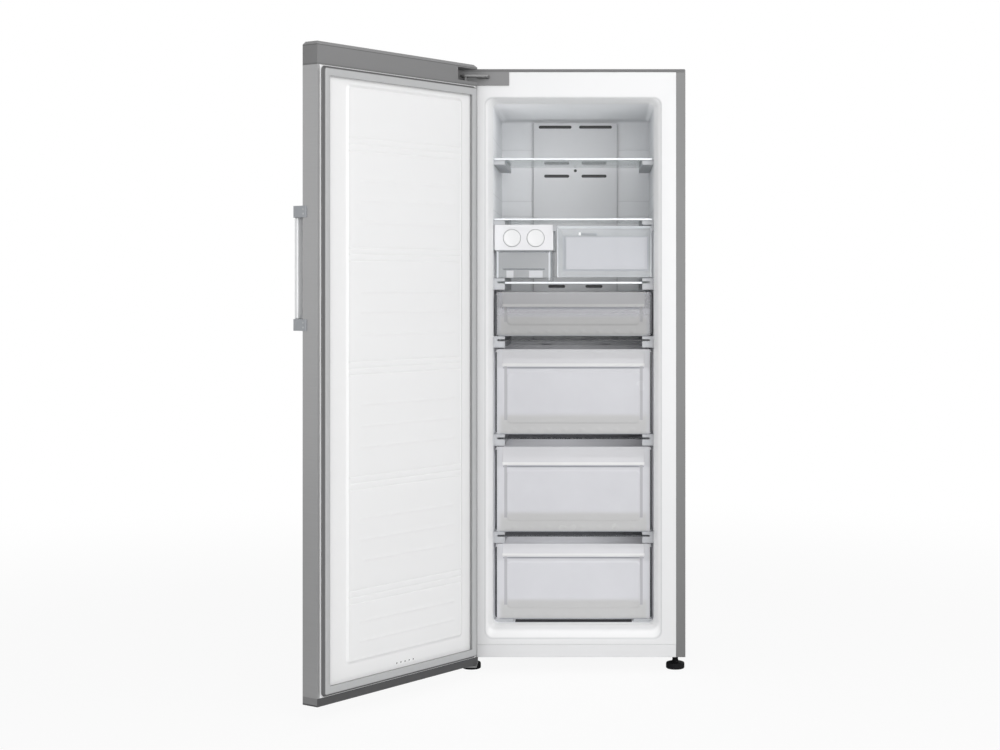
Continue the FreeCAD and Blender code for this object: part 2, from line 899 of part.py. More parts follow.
def plug(grow):
    """The liner's raised field, smaller all round by grow."""
    half = half_width - plug_inset
    base = (half - grow, plug_bottom + grow, plug_top - grow, plug_radius, door_inner - grow)
    face = (
        half - plug_draft - grow, plug_bottom + plug_draft + grow, plug_top - plug_draft - grow,
        plug_radius, door_inner + plug_rise - grow,
    )
    field = funnel(base, face)
    field.translate(vec(plug_shift, 0, 0))
    return field


def ridge_heights():
    return [middle + n * ridge_pitch for middle in ridge_groups for n in (-1, 0, 1)]


def door_liner():
    """Moulded inner panel: flat rim, raised field, grooves and drain holes."""
    rim_half = half_width - skin_return
    rim = block(
        -rim_half, rim_half, door_inner - plastic_wall, door_inner,
        skin_bottom, skin_top,
    )
    liner = rim.fuse(plug(0)).cut(plug(plastic_wall))
    half = half_width - plug_inset - plug_draft - ridge_margin
    face = door_inner + plug_rise
    for z in ridge_heights():
        liner = liner.cut(block(
            plug_shift - half, plug_shift + half, face - ridge_depth, face + past,
            z - ridge_width / 2, z + ridge_width / 2,
        ))
    for n in range(drain_hole_count):
        x = drain_hole_middle + (n - (drain_hole_count - 1) / 2) * drain_hole_pitch
        start = vec(x, door_inner - plastic_wall + past, drain_hole_height)
        liner = liner.cut(rod(drain_hole_diameter / 2, start, ALONG_Y, plastic_wall))
    return liner


def door_foam():
    """Foam between the skin, the liner and the two caps."""
    lower = door_plan(cap_wall, door_bottom + cap_wall, skin_bottom)
    seat = rod(bush_radius() + cap_wall, vec(hinge_x, hinge_y, 0), UP, door_top)
    middle = door_plan(steel_sheet, skin_bottom, skin_top)
    rim_half = half_width - skin_return
    middle = middle.cut(block(
        -rim_half, rim_half, door_inner - plastic_wall, door_inner + past,
        skin_bottom - past, skin_top + past,
    ))
    middle = middle.fuse(plug(plastic_wall))
    pin_end = vec(hinge_x, hinge_y, skin_top - upper_pin_drop - past)
    middle = middle.cut(rod(bush_radius(), pin_end, UP, door_top))
    upper = door_plan(cap_wall, skin_top, door_top - cap_chamfer - cap_wall)
    upper = upper.cut(pocket(cap_wall))
    return fuse([lower.cut(seat), middle, upper.cut(seat)])


def door_gasket():
    """Magnetic seal: a closed frame that nearly meets the cabinet's front."""
    outer = half_width - gasket_outer_inset
    bottom = skin_bottom + gasket_end_gap
    top = skin_top - gasket_end_gap
    depth = seal_gap - running_gap
    frame = upright_slab(outer, bottom, top, gasket_outer_radius, door_inner, door_inner + depth)
    hole = upright_slab(
        outer - gasket_width, bottom + gasket_bottom_width, top - gasket_top_width,
        gasket_inner_radius, door_inner - past, door_inner + depth + past,
    )
    return frame.cut(hole)


# ---------------------------------------------------------------- handle
def handle_bar_left():
    return half_width - handle_bar_inset - handle_bar_width


def handle_bar():
    left = handle_bar_left()
    bar = block(
        left, left + handle_bar_width, handle_out, handle_out + handle_bar_depth,
        handle_bottom + handle_end_height, handle_top - handle_end_height,
    )
    upright = [e for e in bar.Edges if e.BoundBox.ZLength > handle_bar_width]
    return bar.makeFillet(handle_bar_edge, upright)


def handle_brackets():
    """Two end blocks that stand on the outer face and lap round the free side."""
    left = handle_bar_left() - handle_bracket_margin
    right = half_width + handle_wrap_thickness
    blocks = []
    for z0 in (handle_bottom, handle_top - handle_end_height):
        z1 = z0 + handle_end_height
        corners = [
            (left, door_outer),
            (left, handle_out + handle_bevel),
            (left + handle_bevel / 2, handle_out),
            (right - handle_bevel, handle_out),
            (right, handle_out + handle_bevel),
            (right, door_outer + handle_wrap),
            (half_width, door_outer + handle_wrap),
            (half_width, door_outer + free_side_radius),
            (half_width - free_side_radius, door_outer),
        ]
        points = [vec(x, y, z0) for x, y in corners]
        outline = Part.Face(Part.makePolygon(points + points[:1]))
        end = outline.extrude(vec(0, 0, z1 - z0))
        blocks.append(end.cut(door_plan(0, z0 - past, z1 + past)))
    return Part.makeCompound(blocks)


def handle_screws():
    heads = []
    x = half_width + handle_wrap_thickness
    y = door_outer + handle_wrap / 2
    for z0 in (handle_bottom, handle_top - handle_end_height):
        for share in handle_screw_shares:
            z = z0 + share * handle_end_height
            heads.append(rod(handle_screw_diameter / 2, vec(x, y, z), ALONG_X, handle_screw_head))
    return Part.makeCompound(heads)


# ---------------------------------------------------------------- shelves
def hung_level(n):
    """The two top shelves only rest on their ledges; the others are held in rails."""
    return n < 2


def glass_half(n):
    if hung_level(n):
        return half_cavity - shelf_side_gap
    return half_cavity - rail_width + glass_grip


def glass_shelf(n):
    z = glass_heights[n]
    half = glass_half(n)
    return block(-half, half, glass_front, glass_back, z, z + glass_thickness)


def shelf_trim(n):
    """Bright strip along a shelf's front edge."""
    half = glass_half(n) if hung_level(n) else half_cavity - rail_width - running_gap
    top = glass_heights[n] + glass_thickness
    return block(-half, half, glass_front - trim_depth, glass_front, top - trim_height, top)


def shelf_supports():
    """Side rails that carry the glass and, lower down, the drawers."""
    rails = []
    inner = half_cavity - rail_width
    for n, z in enumerate(glass_heights):
        above = 0 if hung_level(n) else rail_above
        below = ledge_depth if hung_level(n) else rail_below
        for side in (-1, 1):
            x0 = min(side * inner, side * half_cavity)
            rail = block(x0, x0 + rail_width, rail_front, rail_back, z - below, z + above)
            grip = glass_half(n) + running_gap
            slot = block(
                min(side * inner, side * grip), max(side * inner, side * grip),
                rail_front - past, glass_back + running_gap, z, z + glass_thickness + running_gap,
            )
            rails.append(rail if hung_level(n) else rail.cut(slot))
    for side in (-1, 1):
        x0 = min(side * (half_cavity - floor_rail_width), side * half_cavity)
        rail = block(
            x0, x0 + floor_rail_width, rail_front, step_front,
            cavity_bottom, cavity_bottom + floor_rail_height,
        )
        rails.append(rail.common(cavity(0)))
    return Part.makeCompound(rails)


# ---------------------------------------------------------------- drawers
def drawer_floor(n):
    """Height of the underside of drawer n, counted from the top one."""
    if n == 3:
        return cavity_bottom + floor_rail_height + running_gap
    return glass_heights[n + 3] + rail_above + running_gap


def drawer_top(n):
    """Height of the rim of drawer n, just under the rails above it."""
    return glass_heights[n + 2] - rail_below - drawer_top_gaps[n]


def drawer_length_back(n):
    return low_drawer_back if n == 3 else drawer_back


def drawer(n):
    """One clear moulding: tub, round-bottomed front and a finger lip."""
    bottom = drawer_floor(n)
    top = drawer_top(n)
    half_front = drawer_front_width / 2
    half_body = drawer_body_width / 2
    face = drawer_front_face
    back = drawer_length_back(n)
    front = upright_slab(half_front, bottom, top, drawer_bottom_radius, face, face + drawer_wall)
    tub = block(-half_body, half_body, face + drawer_wall, back, bottom, top)
    inside = block(
        -half_body + drawer_wall, half_body - drawer_wall,
        face + drawer_wall, back - drawer_wall, bottom + drawer_wall, top + past,
    )
    corner = upright_slab(half_body, bottom, 2 * top, drawer_bottom_radius, face, back)
    tub = tub.common(corner).cut(inside)
    line = top - drawer_grip_drops[n]
    lip = prism_x(
        [
            (face, line + grip_height),
            (face - grip_reach, line + grip_edge),
            (face - grip_reach, line),
            (face - grip_reach + grip_lip, line),
            (face - grip_reach + grip_lip, line + grip_edge),
            (face, line + grip_height - grip_thickness),
        ],
        -half_front + grip_inset, half_front - grip_inset,
    )
    return fuse([front, tub, lip])


# ---------------------------------------------------------------- ice maker, bucket and flap
def ice_maker_housing():
    """Open-bottomed case with a bearing for each knob in front and tray stub behind."""
    case = block(ice_left, ice_right, ice_front, ice_back, ice_bottom, ice_top)
    inside = block(
        ice_left + plastic_wall, ice_right - plastic_wall,
        ice_front + plastic_wall, ice_back - plastic_wall, ice_bottom - past, ice_top - plastic_wall,
    )
    case = case.cut(inside)
    boss_end = ice_front + knob_recess + knob_boss_depth
    for x in knob_centres:
        start = vec(x, ice_front, knob_height)
        case = case.fuse(rod(knob_diameter / 2 + knob_boss_rim, start, ALONG_Y, boss_end - ice_front))
        case = case.cut(rod(knob_diameter / 2 + knob_ring_gap, start, ALONG_Y, knob_recess))
        case = case.cut(rod(knob_shaft_diameter / 2 + shaft_gap, start, ALONG_Y, tray_start - ice_front))
        rear = vec(x, tray_end, knob_height)
        case = case.cut(rod(tray_stub_diameter / 2 + shaft_gap, rear, ALONG_Y, ice_back - tray_end))
    return case.removeSplitter()


def ice_knob(x):
    """Round knob and its shaft, which turns the tray behind it."""
    floor = ice_front + knob_recess - running_gap
    start = vec(x, floor - knob_thickness, knob_height)
    disc = rod(knob_diameter / 2, start, ALONG_Y, knob_thickness)
    middle = floor - knob_thickness / 2
    front = [e for e in disc.Edges if len(e.Vertexes) == 1 and e.BoundBox.YMax < middle]
    disc = disc.makeFillet(knob_edge_radius, front)
    shaft = rod(knob_shaft_diameter / 2, vec(x, floor, knob_height), ALONG_Y, tray_start - floor)
    return disc.fuse(shaft).removeSplitter()


def ice_tray(x):
    """Tray with low dividers that tips its cubes into the bucket."""
    low = knob_height - tray_below
    high = knob_height + tray_above
    tray = block(x - tray_half_width, x + tray_half_width, tray_start, tray_end, low, high)
    tray = tray.cut(block(
        x - tray_half_width + tray_wall, x + tray_half_width - tray_wall,
        tray_start + tray_wall, tray_end - tray_wall, low + tray_wall, high + past,
    ))
    ribs = []
    pitch = (tray_end - tray_start) / tray_rows
    top = low + tray_wall + tray_divider_height
    for n in range(1, tray_rows):
        y = tray_start + n * pitch
        ribs.append(block(
            x - tray_half_width + tray_wall, x + tray_half_width - tray_wall,
            y - tray_wall / 2, y + tray_wall / 2, low + tray_wall, top,
        ))
    ribs.append(block(
        x - tray_wall / 2, x + tray_wall / 2,
        tray_start + tray_wall, tray_end - tray_wall, low + tray_wall, top,
    ))
    stub = rod(tray_stub_diameter / 2, vec(x, tray_end, knob_height), ALONG_Y, ice_back - tray_end)
    return fuse([tray] + ribs + [stub])


def ice_bucket():
    """Clear bin under the ice maker, on the left rail and a runner."""
    face = drawer_front_face
    tub = block(bucket_left, bucket_right, face, bucket_back, bucket_bottom, bucket_top)
    tub = tub.cut(block(
        bucket_left + plastic_wall, bucket_right - plastic_wall,
        face + plastic_wall, bucket_back - plastic_wall,
        bucket_bottom + plastic_wall, bucket_top + past,
    ))
    glass_top = glass_heights[2] + glass_thickness
    runner = block(
        bucket_right - bucket_runner - bucket_runner_inset, bucket_right - bucket_runner_inset,
        rail_front + bucket_runner_inset, bucket_back,
        glass_top + running_gap, bucket_bottom,
    )
    return fuse([tub, runner])


def flap_panel():
    """Clear lift-up flap: a thin pane in a thicker frame, with a pin at each end."""
    y0 = ice_front
    frame = block(flap_left, flap_right, y0, y0 + flap_thickness, flap_bottom, flap_top)
    recess = block(
        flap_left + flap_frame, flap_right - flap_frame, y0 - past, y0 + flap_thickness - flap_pane,
        flap_bottom + flap_frame, flap_axis_height - flap_frame,
    )
    frame = frame.cut(recess)
    pins = [
        rod(
            flap_pin_diameter / 2, vec(flap_left - flap_pin_length, flap_axis_y, flap_axis_height),
            ALONG_X, flap_pin_length + flap_pin_root,
        ),
        rod(
            flap_pin_diameter / 2, vec(flap_right - flap_pin_root, flap_axis_y, flap_axis_height),
            ALONG_X, flap_pin_length + flap_pin_root,
        ),
    ]
    edge_bottom = flap_axis_height - flap_edge_height
    edge = block(flap_left, flap_right, y0, y0 + flap_thickness, edge_bottom, flap_top)
    return fuse([frame, edge] + pins)


def flap_brackets():
    """Blocks under the second shelf that the flap's pins turn in."""
    bottom = ice_top - flap_block_height
    y0 = flap_axis_y - flap_block_depth / 2
    y1 = flap_axis_y + flap_block_depth / 2
    left = block(ice_right, flap_left - running_gap, y0, y1, bottom, ice_top)
    right = block(flap_right + running_gap, half_cavity, y0, y1, bottom, ice_top)
    hole = rod(
        flap_pin_diameter / 2 + shaft_gap, vec(ice_right, flap_axis_y, flap_axis_height),
        ALONG_X, half_cavity - ice_right - flap_hole_end,
    )
    return Part.makeCompound([left.cut(hole), right.cut(hole)])


# ---------------------------------------------------------------- air path
def slots(rows, height, y0, y1):
    cutters = []
    for z, (near, far) in rows:
        for side in (-1, 1):
            x0 = min(side * near, side * far)
            slot = block(x0, x0 + far - near, y0, y1, z - height / 2, z + height / 2)
            ends = [e for e in slot.Edges if e.BoundBox.YLength > (y1 - y0) / 2]
            cutters.append(slot.makeFillet(slot_end_share * height, ends))
    return cutters


def duct_cover():
    """Hollow air duct up the back wall, with outlet slots."""
    front = cavity_back - duct_depth
    cover = block(-duct_half_width, duct_half_width, front, cavity_back, duct_bottom, duct_top)
    cover = cover.cut(block(
        -duct_half_width + plastic_wall, duct_half_width - plastic_wall,
        front + plastic_wall, cavity_back + past, duct_bottom - past, duct_top - plastic_wall,
    ))
    for slot in slots(duct_slots, slot_height, front - past, front + plastic_wall + past):
        cover = cover.cut(slot)
    sensor = vec(0, front - past, sensor_hole)
    return cover.cut(rod(sensor_diameter / 2, sensor, ALONG_Y, plastic_wall + 2 * past))


def evaporator_cover():
    """Panel across the lower back wall that hides the cooling coil and its fan."""
    front = evaporator_cover_front
    cover = block(
        -half_cavity, half_cavity, front, cavity_back,
        evaporator_cover_bottom, evaporator_cover_top,
    )
    inside = block(
        -half_cavity + plastic_wall, half_cavity - plastic_wall,
        front + plastic_wall, cavity_back + past,
        evaporator_cover_bottom - past, evaporator_cover_top - plastic_wall,
    )
    cover = cover.cut(inside)
    throat = block(
        -duct_half_width + plastic_wall, duct_half_width - plastic_wall,
        cavity_back - duct_depth + plastic_wall, cavity_back + past,
        evaporator_cover_top - plastic_wall - past, evaporator_cover_top + past,
    )
    cover = cover.cut(throat)
    for slot in slots(cover_slots, cover_slot_height, front - past, front + plastic_wall + past):
        cover = cover.cut(slot)
    return cover


def evaporator():
    """Finned cooling coil between two end plates, hung against the back wall."""
    y1 = coil_front + coil_depth
    tube_length = 2 * (coil_half_width + coil_tube_overhang)
    pieces = []
    for side in (-1, 1):
        x0 = side * coil_half_width - coil_end_plate / 2
        pieces.append(block(x0, x0 + coil_end_plate, coil_front, cavity_back, coil_bottom, coil_top))
    pitch = 2 * coil_half_width / (coil_fins + 1)
    for n in range(1, coil_fins + 1):
        x = -coil_half_width + n * pitch
        pieces.append(block(
            x - coil_fin_thickness / 2, x + coil_fin_thickness / 2,
            coil_front, y1, coil_bottom, coil_top,
        ))
    row_pitch = (coil_top - coil_bottom) / coil_tube_rows
    for n in range(coil_tube_rows):
        z = coil_bottom + (n + 0.5) * row_pitch
        for share in coil_tube_places:
            start = vec(-coil_half_width - coil_tube_overhang, coil_front + share * coil_depth, z)
            pieces.append(rod(coil_tube_diameter / 2, start, ALONG_X, tube_length))
    return fuse(pieces)


def fan_motor():
    """Motor on a wall plate, with the shaft that carries the fan."""
    back = cavity_back
    body = rod(motor_radius, vec(0, motor_front, fan_height), ALONG_Y, back - motor_plate - motor_front)
    plate = block(
        -motor_plate_half, motor_plate_half, back - motor_plate, back,
        fan_height - motor_plate_half, fan_height + motor_plate_half,
    )
    shaft = rod(
        motor_shaft_diameter / 2, vec(0, fan_hub_front, fan_height), ALONG_Y,
        motor_front - fan_hub_front,
    )
    return fuse([body, plate, shaft])


def fan_blade():
    """Hub and pitched blades."""
    middle = fan_hub_front + fan_hub_length / 2
    pieces = [rod(fan_hub_radius, vec(0, fan_hub_front, fan_height), ALONG_Y, fan_hub_length)]
    for n in range(fan_blades):
        blade = block(
            fan_hub_radius - fan_blade_root, fan_radius,
            -fan_blade_thickness / 2, fan_blade_thickness / 2,
            -fan_blade_chord / 2, fan_blade_chord / 2,
        )
        blade.rotate(vec(0, 0, 0), ALONG_X, fan_blade_pitch)
        blade.translate(vec(0, middle, fan_height))
        blade.rotate(vec(0, middle, fan_height), ALONG_Y, 360.0 * n / fan_blades)
        pieces.append(blade)
    fan = fuse(pieces)
    bore = motor_shaft_diameter / 2 + shaft_gap
    return fan.cut(rod(bore, vec(0, fan_hub_front, fan_height), ALONG_Y, fan_hub_length))


# ---------------------------------------------------------------- machine space
def compressor_plate_top():
    return compressor_bottom + compressor_foot_thickness


def compressor():
    """Hermetic pot with domed ends on a foot plate, with two pipe stubs."""
    r = compressor_radius
    dome = compressor_dome
    z0 = compressor_bottom
    z1 = z0 + compressor_height
    pot = rod(r, vec(compressor_x, compressor_y, z0), UP, compressor_height)
    rims = [e for e in pot.Edges if len(e.Vertexes) == 1]
    pot = pot.makeFillet(dome, rims)
    plate = block(
        compressor_x - compressor_foot_half, compressor_x + compressor_foot_half,
        compressor_y - compressor_foot_depth, compressor_y + compressor_foot_depth,
        z0, compressor_plate_top(),
    )
    band_bottom = z0 + (compressor_height - compressor_band_height) / 2
    band_place = vec(compressor_x, compressor_y, band_bottom)
    band = rod(r + compressor_band, band_place, UP, compressor_band_height)
    suction = vec(compressor_x, compressor_y, z1 - suction_drop)
    stub = rod(suction_radius, suction, ALONG_X, r + stub_length)
    discharge = vec(compressor_x, compressor_y + relay_half_width, z1 - discharge_drop)
    stub_two = rod(discharge_radius, discharge, ALONG_X, r + stub_length)
    relay = block(
        compressor_x - r - relay_depth, compressor_x,
        compressor_y - relay_half_width, compressor_y + relay_half_width,
        z0 + relay_bottom, z0 + relay_bottom + relay_height,
    )
    body = fuse([pot, plate, band, stub, stub_two, relay])
    for place in mount_places():
        body = body.cut(rod(mount_hole_radius, place, UP, compressor_height))
    return body


def mount_places():
    x = compressor_foot_half - mount_inset_x
    y = compressor_foot_depth - mount_inset_y
    return [
        vec(compressor_x + sx * x, compressor_y + sy * y, 0)
        for sx in (-1, 1) for sy in (-1, 1)
    ]


def compressor_mounts():
    """Four rubber mounts between the base and the foot plate, each with a neck."""
    floor = machine_floor + pressing
    mounts = []
    for place in mount_places():
        foot = rod(mount_radius, vec(place.x, place.y, floor), UP, compressor_bottom - floor)
        neck = rod(mount_hole_radius, vec(place.x, place.y, compressor_bottom), UP, mount_neck)
        mounts.append(foot.fuse(neck).removeSplitter())
    return Part.makeCompound(mounts)


def drip_tray():
    """Open tray on the compressor that dries off the defrost water."""
    z0 = compressor_bottom + compressor_height
    x0 = compressor_x - drip_tray_half_width
    x1 = compressor_x + drip_tray_half_width
    y0 = compressor_y - drip_tray_half_depth
    y1 = compressor_y + drip_tray_half_depth
    tray = block(x0, x1, y0, y1, z0, z0 + drip_tray_height)
    wall = plastic_wall
    high = z0 + drip_tray_height + past
    return tray.cut(block(x0 + wall, x1 - wall, y0 + wall, y1 - wall, z0 + wall, high))


def drain_tube():
    """Tube that takes defrost water down through the foam to the drip tray."""
    x, y = drain_axis()
    bottom = compressor_bottom + compressor_height + drip_tray_height - drain_overlap
    top = step_top - plastic_wall
    outer = rod(drain_tube_diameter / 2, vec(x, y, bottom), UP, top - bottom)
    return outer.cut(rod(drain_tube_diameter / 2 - drain_tube_wall, vec(x, y, 0), UP, top))


def machine_cover():
    """Slotted rear cover of the machine space."""
    low = machine_floor + pressing
    high = machine_roof - pressing
    half = inner_half - pressing
    cover = block(-half, half, cabinet_depth - rear_cover_thickness, cabinet_depth, low, high)
    middle = (vent_slots - 1) / 2
    for n in range(vent_slots):
        x = (n - middle) * vent_slot_pitch - vent_slot_margin
        cover = cover.cut(block(
            x - vent_slot_width / 2, x + vent_slot_width / 2, machine_face, cabinet_depth + past,
            low + vent_slot_margin, high - vent_slot_margin,
        ))
    return cover.cut(rod(inlet_neck_radius, vec(inlet_x, 0, inlet_height), ALONG_Y, cabinet_depth))


def power_inlet():
    """Grommet in the rear cover where the mains lead goes in."""
    start = vec(inlet_x, cabinet_depth - rear_cover_thickness - inlet_length, inlet_height)
    length = inlet_length + rear_cover_thickness
    neck = rod(inlet_neck_radius, start, ALONG_Y, length)
    collar = rod(inlet_radius, start, ALONG_Y, inlet_length)
    return collar.fuse(neck).cut(rod(inlet_bore_radius, start, ALONG_Y, length)).removeSplitter()


# ---------------------------------------------------------------- all pieces
def make_cabinet():
    save("outer_shell", outer_shell())
    save("back_panel", back_panel())
    save("top_front_trim", top_front_trim())
    save("lower_front_panel", lower_front_panel())
    save("inner_liner", inner_liner())
    save("foam_insulation", foam_insulation())
    save("base_frame", base_frame())
    save("top_hinge", top_hinge())
    save("hinge_screws", hinge_screws())
    save("hinge_cover", hinge_cover())
    save("bottom_hinge", bottom_hinge())
    save("roller_brackets", roller_brackets())
    for side, word in ((-1, "left"), (1, "right")):
        save("front_foot_" + word, front_foot(side))
        save("rear_roller_" + word, rear_roller(side))


def make_inside():
    for n in range(len(glass_heights)):
        save("glass_shelf_%d" % (n + 1), glass_shelf(n))
    for n in range(3):
        save("shelf_trim_%d" % (n + 1), shelf_trim(n))
    save("shelf_supports", shelf_supports())
    for n in range(len(drawer_top_gaps)):
        save("drawer_%d" % (n + 1), drawer(n))
    save("ice_maker_housing", ice_maker_housing())
    for x, word in zip(knob_centres, ("left", "right")):
        save("ice_knob_" + word, ice_knob(x))
        save("ice_tray_" + word, ice_tray(x))
    save("ice_bucket", ice_bucket())
    save("flap_panel", flap_panel())
    save("flap_brackets", flap_brackets())


def make_cooling():
    save("duct_cover", duct_cover())
    save("evaporator_cover", evaporator_cover())
    save("evaporator", evaporator())
    save("fan_motor", fan_motor())
    save("fan_blade", fan_blade())
    save("compressor", compressor())
    save("compressor_mounts", compressor_mounts())
    save("drip_tray", drip_tray())
    save("drain_tube", drain_tube())
    save("machine_cover", machine_cover())
    save("power_inlet", power_inlet())


def make_door():
    save("door_skin", door_skin(), on_door=True)
    save("door_top_cap", door_top_cap(), on_door=True)
    save("door_bottom_cap", door_bottom_cap(), on_door=True)
    save("door_bushes", door_bushes(), on_door=True)
    save("door_liner", door_liner(), on_door=True)
    save("door_foam", door_foam(), on_door=True)
    save("door_gasket", door_gasket(), on_door=True)
    save("handle_bar", handle_bar(), on_door=True)
    save("handle_brackets", handle_brackets(), on_door=True)
    save("handle_screws", handle_screws(), on_door=True)


make_cabinet()
make_inside()
make_cooling()
make_door()
print("shift", shift_x, shift_y)
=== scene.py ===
import json
import math

import bmesh
import bpy
import numpy as np
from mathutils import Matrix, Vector

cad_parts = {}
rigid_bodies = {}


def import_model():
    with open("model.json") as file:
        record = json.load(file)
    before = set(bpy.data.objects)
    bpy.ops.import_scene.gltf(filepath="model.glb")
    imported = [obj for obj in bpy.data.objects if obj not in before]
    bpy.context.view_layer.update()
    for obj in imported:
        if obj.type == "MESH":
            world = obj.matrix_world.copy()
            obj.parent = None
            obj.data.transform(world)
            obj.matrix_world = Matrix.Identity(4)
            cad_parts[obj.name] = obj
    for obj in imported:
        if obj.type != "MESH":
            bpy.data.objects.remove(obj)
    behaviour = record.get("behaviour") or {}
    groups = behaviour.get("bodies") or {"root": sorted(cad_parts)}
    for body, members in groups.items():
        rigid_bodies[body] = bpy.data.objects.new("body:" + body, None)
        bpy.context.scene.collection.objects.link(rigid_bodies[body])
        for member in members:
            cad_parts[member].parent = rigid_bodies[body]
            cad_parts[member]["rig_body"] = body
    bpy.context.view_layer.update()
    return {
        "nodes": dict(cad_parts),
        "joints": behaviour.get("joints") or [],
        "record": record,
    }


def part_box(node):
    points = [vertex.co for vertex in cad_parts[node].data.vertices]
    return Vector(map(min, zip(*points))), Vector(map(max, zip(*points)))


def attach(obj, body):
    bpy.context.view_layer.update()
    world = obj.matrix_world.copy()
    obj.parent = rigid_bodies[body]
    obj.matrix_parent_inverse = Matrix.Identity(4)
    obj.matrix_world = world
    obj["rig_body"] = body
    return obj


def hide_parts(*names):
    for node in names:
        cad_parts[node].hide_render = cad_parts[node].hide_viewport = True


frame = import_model()
nodes = frame["nodes"]
slotOf = {part["node"]: part["material_slot"] for part in frame["record"]["subparts"]}
print("frame loaded:", len(nodes), "nodes")

mm = 0.001


# where things are
shellLow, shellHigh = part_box("outer_shell")
cabinetOffset = np.array([(shellLow.x + shellHigh.x) / 2, shellLow.y, 0.0])
swing = next(joint for joint in frame["joints"] if joint["name"] == "door_swing")
hinge = np.array([swing["pos_m"][0], swing["pos_m"][1], 0.0])
openTurn = math.radians(swing["range_deg"][0])


def inCabinet(points):
    # millimetres from the middle of the cabinet's front, floor level, to metres in the frame
    return np.asarray(points, float) * mm + cabinetOffset


def turnedBy(angle, points):
    # points measured from the hinge line, turned about it
    cosine, sine = math.cos(angle), math.sin(angle)
    turned = points.copy()
    turned[..., 0] = points[..., 0] * cosine - points[..., 1] * sine
    turned[..., 1] = points[..., 0] * sine + points[..., 1] * cosine
    return turned


def onDoor(points):
    # the same for a point of the shut door, then turned about the hinge line to the open place
    return turnedBy(openTurn, inCabinet(points) - hinge) + hinge


def cabinetBox(node):
    # lowest and highest corner of a node in cabinet millimetres
    low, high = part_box(node)
    return (np.array(low) - cabinetOffset) / mm, (np.array(high) - cabinetOffset) / mm


def shutDoorBox(node):
    # the same for a node of the door, with the door turned back to shut
    mesh = nodes[node].data
    points = np.zeros(len(mesh.vertices) * 3)
    mesh.vertices.foreach_get("co", points)
    shut = (turnedBy(-openTurn, points.reshape(-1, 3) - hinge) + hinge - cabinetOffset) / mm
    return shut.min(axis=0), shut.max(axis=0)


# shader maths
class Wire:
    # one output socket; the usual operators add Math nodes to its material
    def __init__(self, finish, socket):
        self.finish = finish
        self.socket = socket

    def __add__(self, other):
        return self.finish.math("ADD", self, other)

    __radd__ = __add__

    def __sub__(self, other):
        return self.finish.math("SUBTRACT", self, other)

    def __rsub__(self, other):
        return self.finish.math("SUBTRACT", other, self)

    def __mul__(self, other):
        return self.finish.math("MULTIPLY", self, other)

    __rmul__ = __mul__

    def absolute(self):
        return self.finish.math("ABSOLUTE", self)

    def smooth(self, low, high, start=0.0, end=1.0):
        # eases from start to end while the value goes from low to high
        settings = {"interpolation_type": "SMOOTHSTEP"}
        terms = {"Value": self, 1: low, 2: high, 3: start, 4: end}
        return self.finish.node("ShaderNodeMapRange", settings, terms)


class Finish:
    # one material, or the world, under construction
    def __init__(self, name, world=None):
        self.material = world or bpy.data.materials.new(name)
        self.material.use_nodes = True
        self.tree = self.material.node_tree
        self.tree.nodes.clear()

    def node(self, kind, settings=None, inputs=None, output=0):
        made = self.tree.nodes.new(kind)
        for name, value in (settings or {}).items():
            if name == "stops":
                ramp = made.color_ramp
                while len(ramp.elements) < len(value):
                    ramp.elements.new(0.5)
                for element, (position, colour) in zip(ramp.elements, value):
                    element.position = position
                    element.color = colour
            else:
                setattr(made, name, value)
        for key, value in (inputs or {}).items():
            if isinstance(value, Wire):
                self.tree.links.new(value.socket, made.inputs[key])
            else:
                made.inputs[key].default_value = value
        return Wire(self, made.outputs[output]) if made.outputs else None

    def math(self, operation, first, second=None):
        terms = {0: first} if second is None else {0: first, 1: second}
        return self.node("ShaderNodeMath", {"operation": operation}, terms)

    def line(self, letter, centre, half, soft=0.0006):
        # 1 within half of centre on that axis, easing to 0 over a soft edge
        return (self.axis(letter) - centre).absolute().smooth(half, half + soft, 1.0, 0.0)

    def band(self, letter, low, high, soft=0.0006):
        return self.line(letter, (low + high) / 2, (high - low) / 2, soft)

    def place(self, scale=(1, 1, 1), move=(0, 0, 0)):
        point = self.node("ShaderNodeTexCoord", output="Object")
        terms = {"Vector": point, "Scale": scale, "Location": move}
        return self.node("ShaderNodeMapping", {}, terms)

    def axis(self, letter):
        point = self.node("ShaderNodeTexCoord", output="Object")
        return self.node("ShaderNodeSeparateXYZ", {}, {0: point}, letter)

    def noise(self, scale, detail=2.0, stretch=(1, 1, 1)):
        terms = {"Vector": self.place(stretch), "Scale": scale, "Detail": detail}
        return self.node("ShaderNodeTexNoise", {}, terms)

    def cells(self, scale, output="Distance"):
        terms = {"Vector": self.place(), "Scale": scale}
        return self.node("ShaderNodeTexVoronoi", {"feature": "F1"}, terms, output)

    def ray(self, kind):
        return self.node("ShaderNodeLightPath", output=kind)

    def mix(self, factor, first, second):
        terms = {0: factor, 6: first, 7: second}
        return self.node("ShaderNodeMix", {"data_type": "RGBA"}, terms, 2)

    def drift(self, factor, colour, share):
        # the colour, from darker to lighter by that share
        return self.mix(factor, shade(colour, 1 - share), shade(colour, 1 + share))

    def gloss(self, factor, rough, swing):
        # the roughness, varied by half of the swing to either side
        return factor * swing + (rough - swing / 2)

    def clouded(self, cloud, body, haze):
        # the opacity of clear plastic: its body's, a little cloud, and more at a slant
        edge = self.node("ShaderNodeLayerWeight", {}, {"Blend": 0.35}, "Facing")
        return cloud * haze + edge * (0.5 - body / 2) + (body - haze / 2)

    def bump(self, height, strength, depth):
        terms = {"Height": height, "Strength": strength, "Distance": depth}
        return self.node("ShaderNodeBump", {}, terms)

    def surface(self, terms):
        shader = self.node("ShaderNodeBsdfPrincipled", {}, terms)
        self.node("ShaderNodeOutputMaterial", {}, {"Surface": shader})
        return self.material


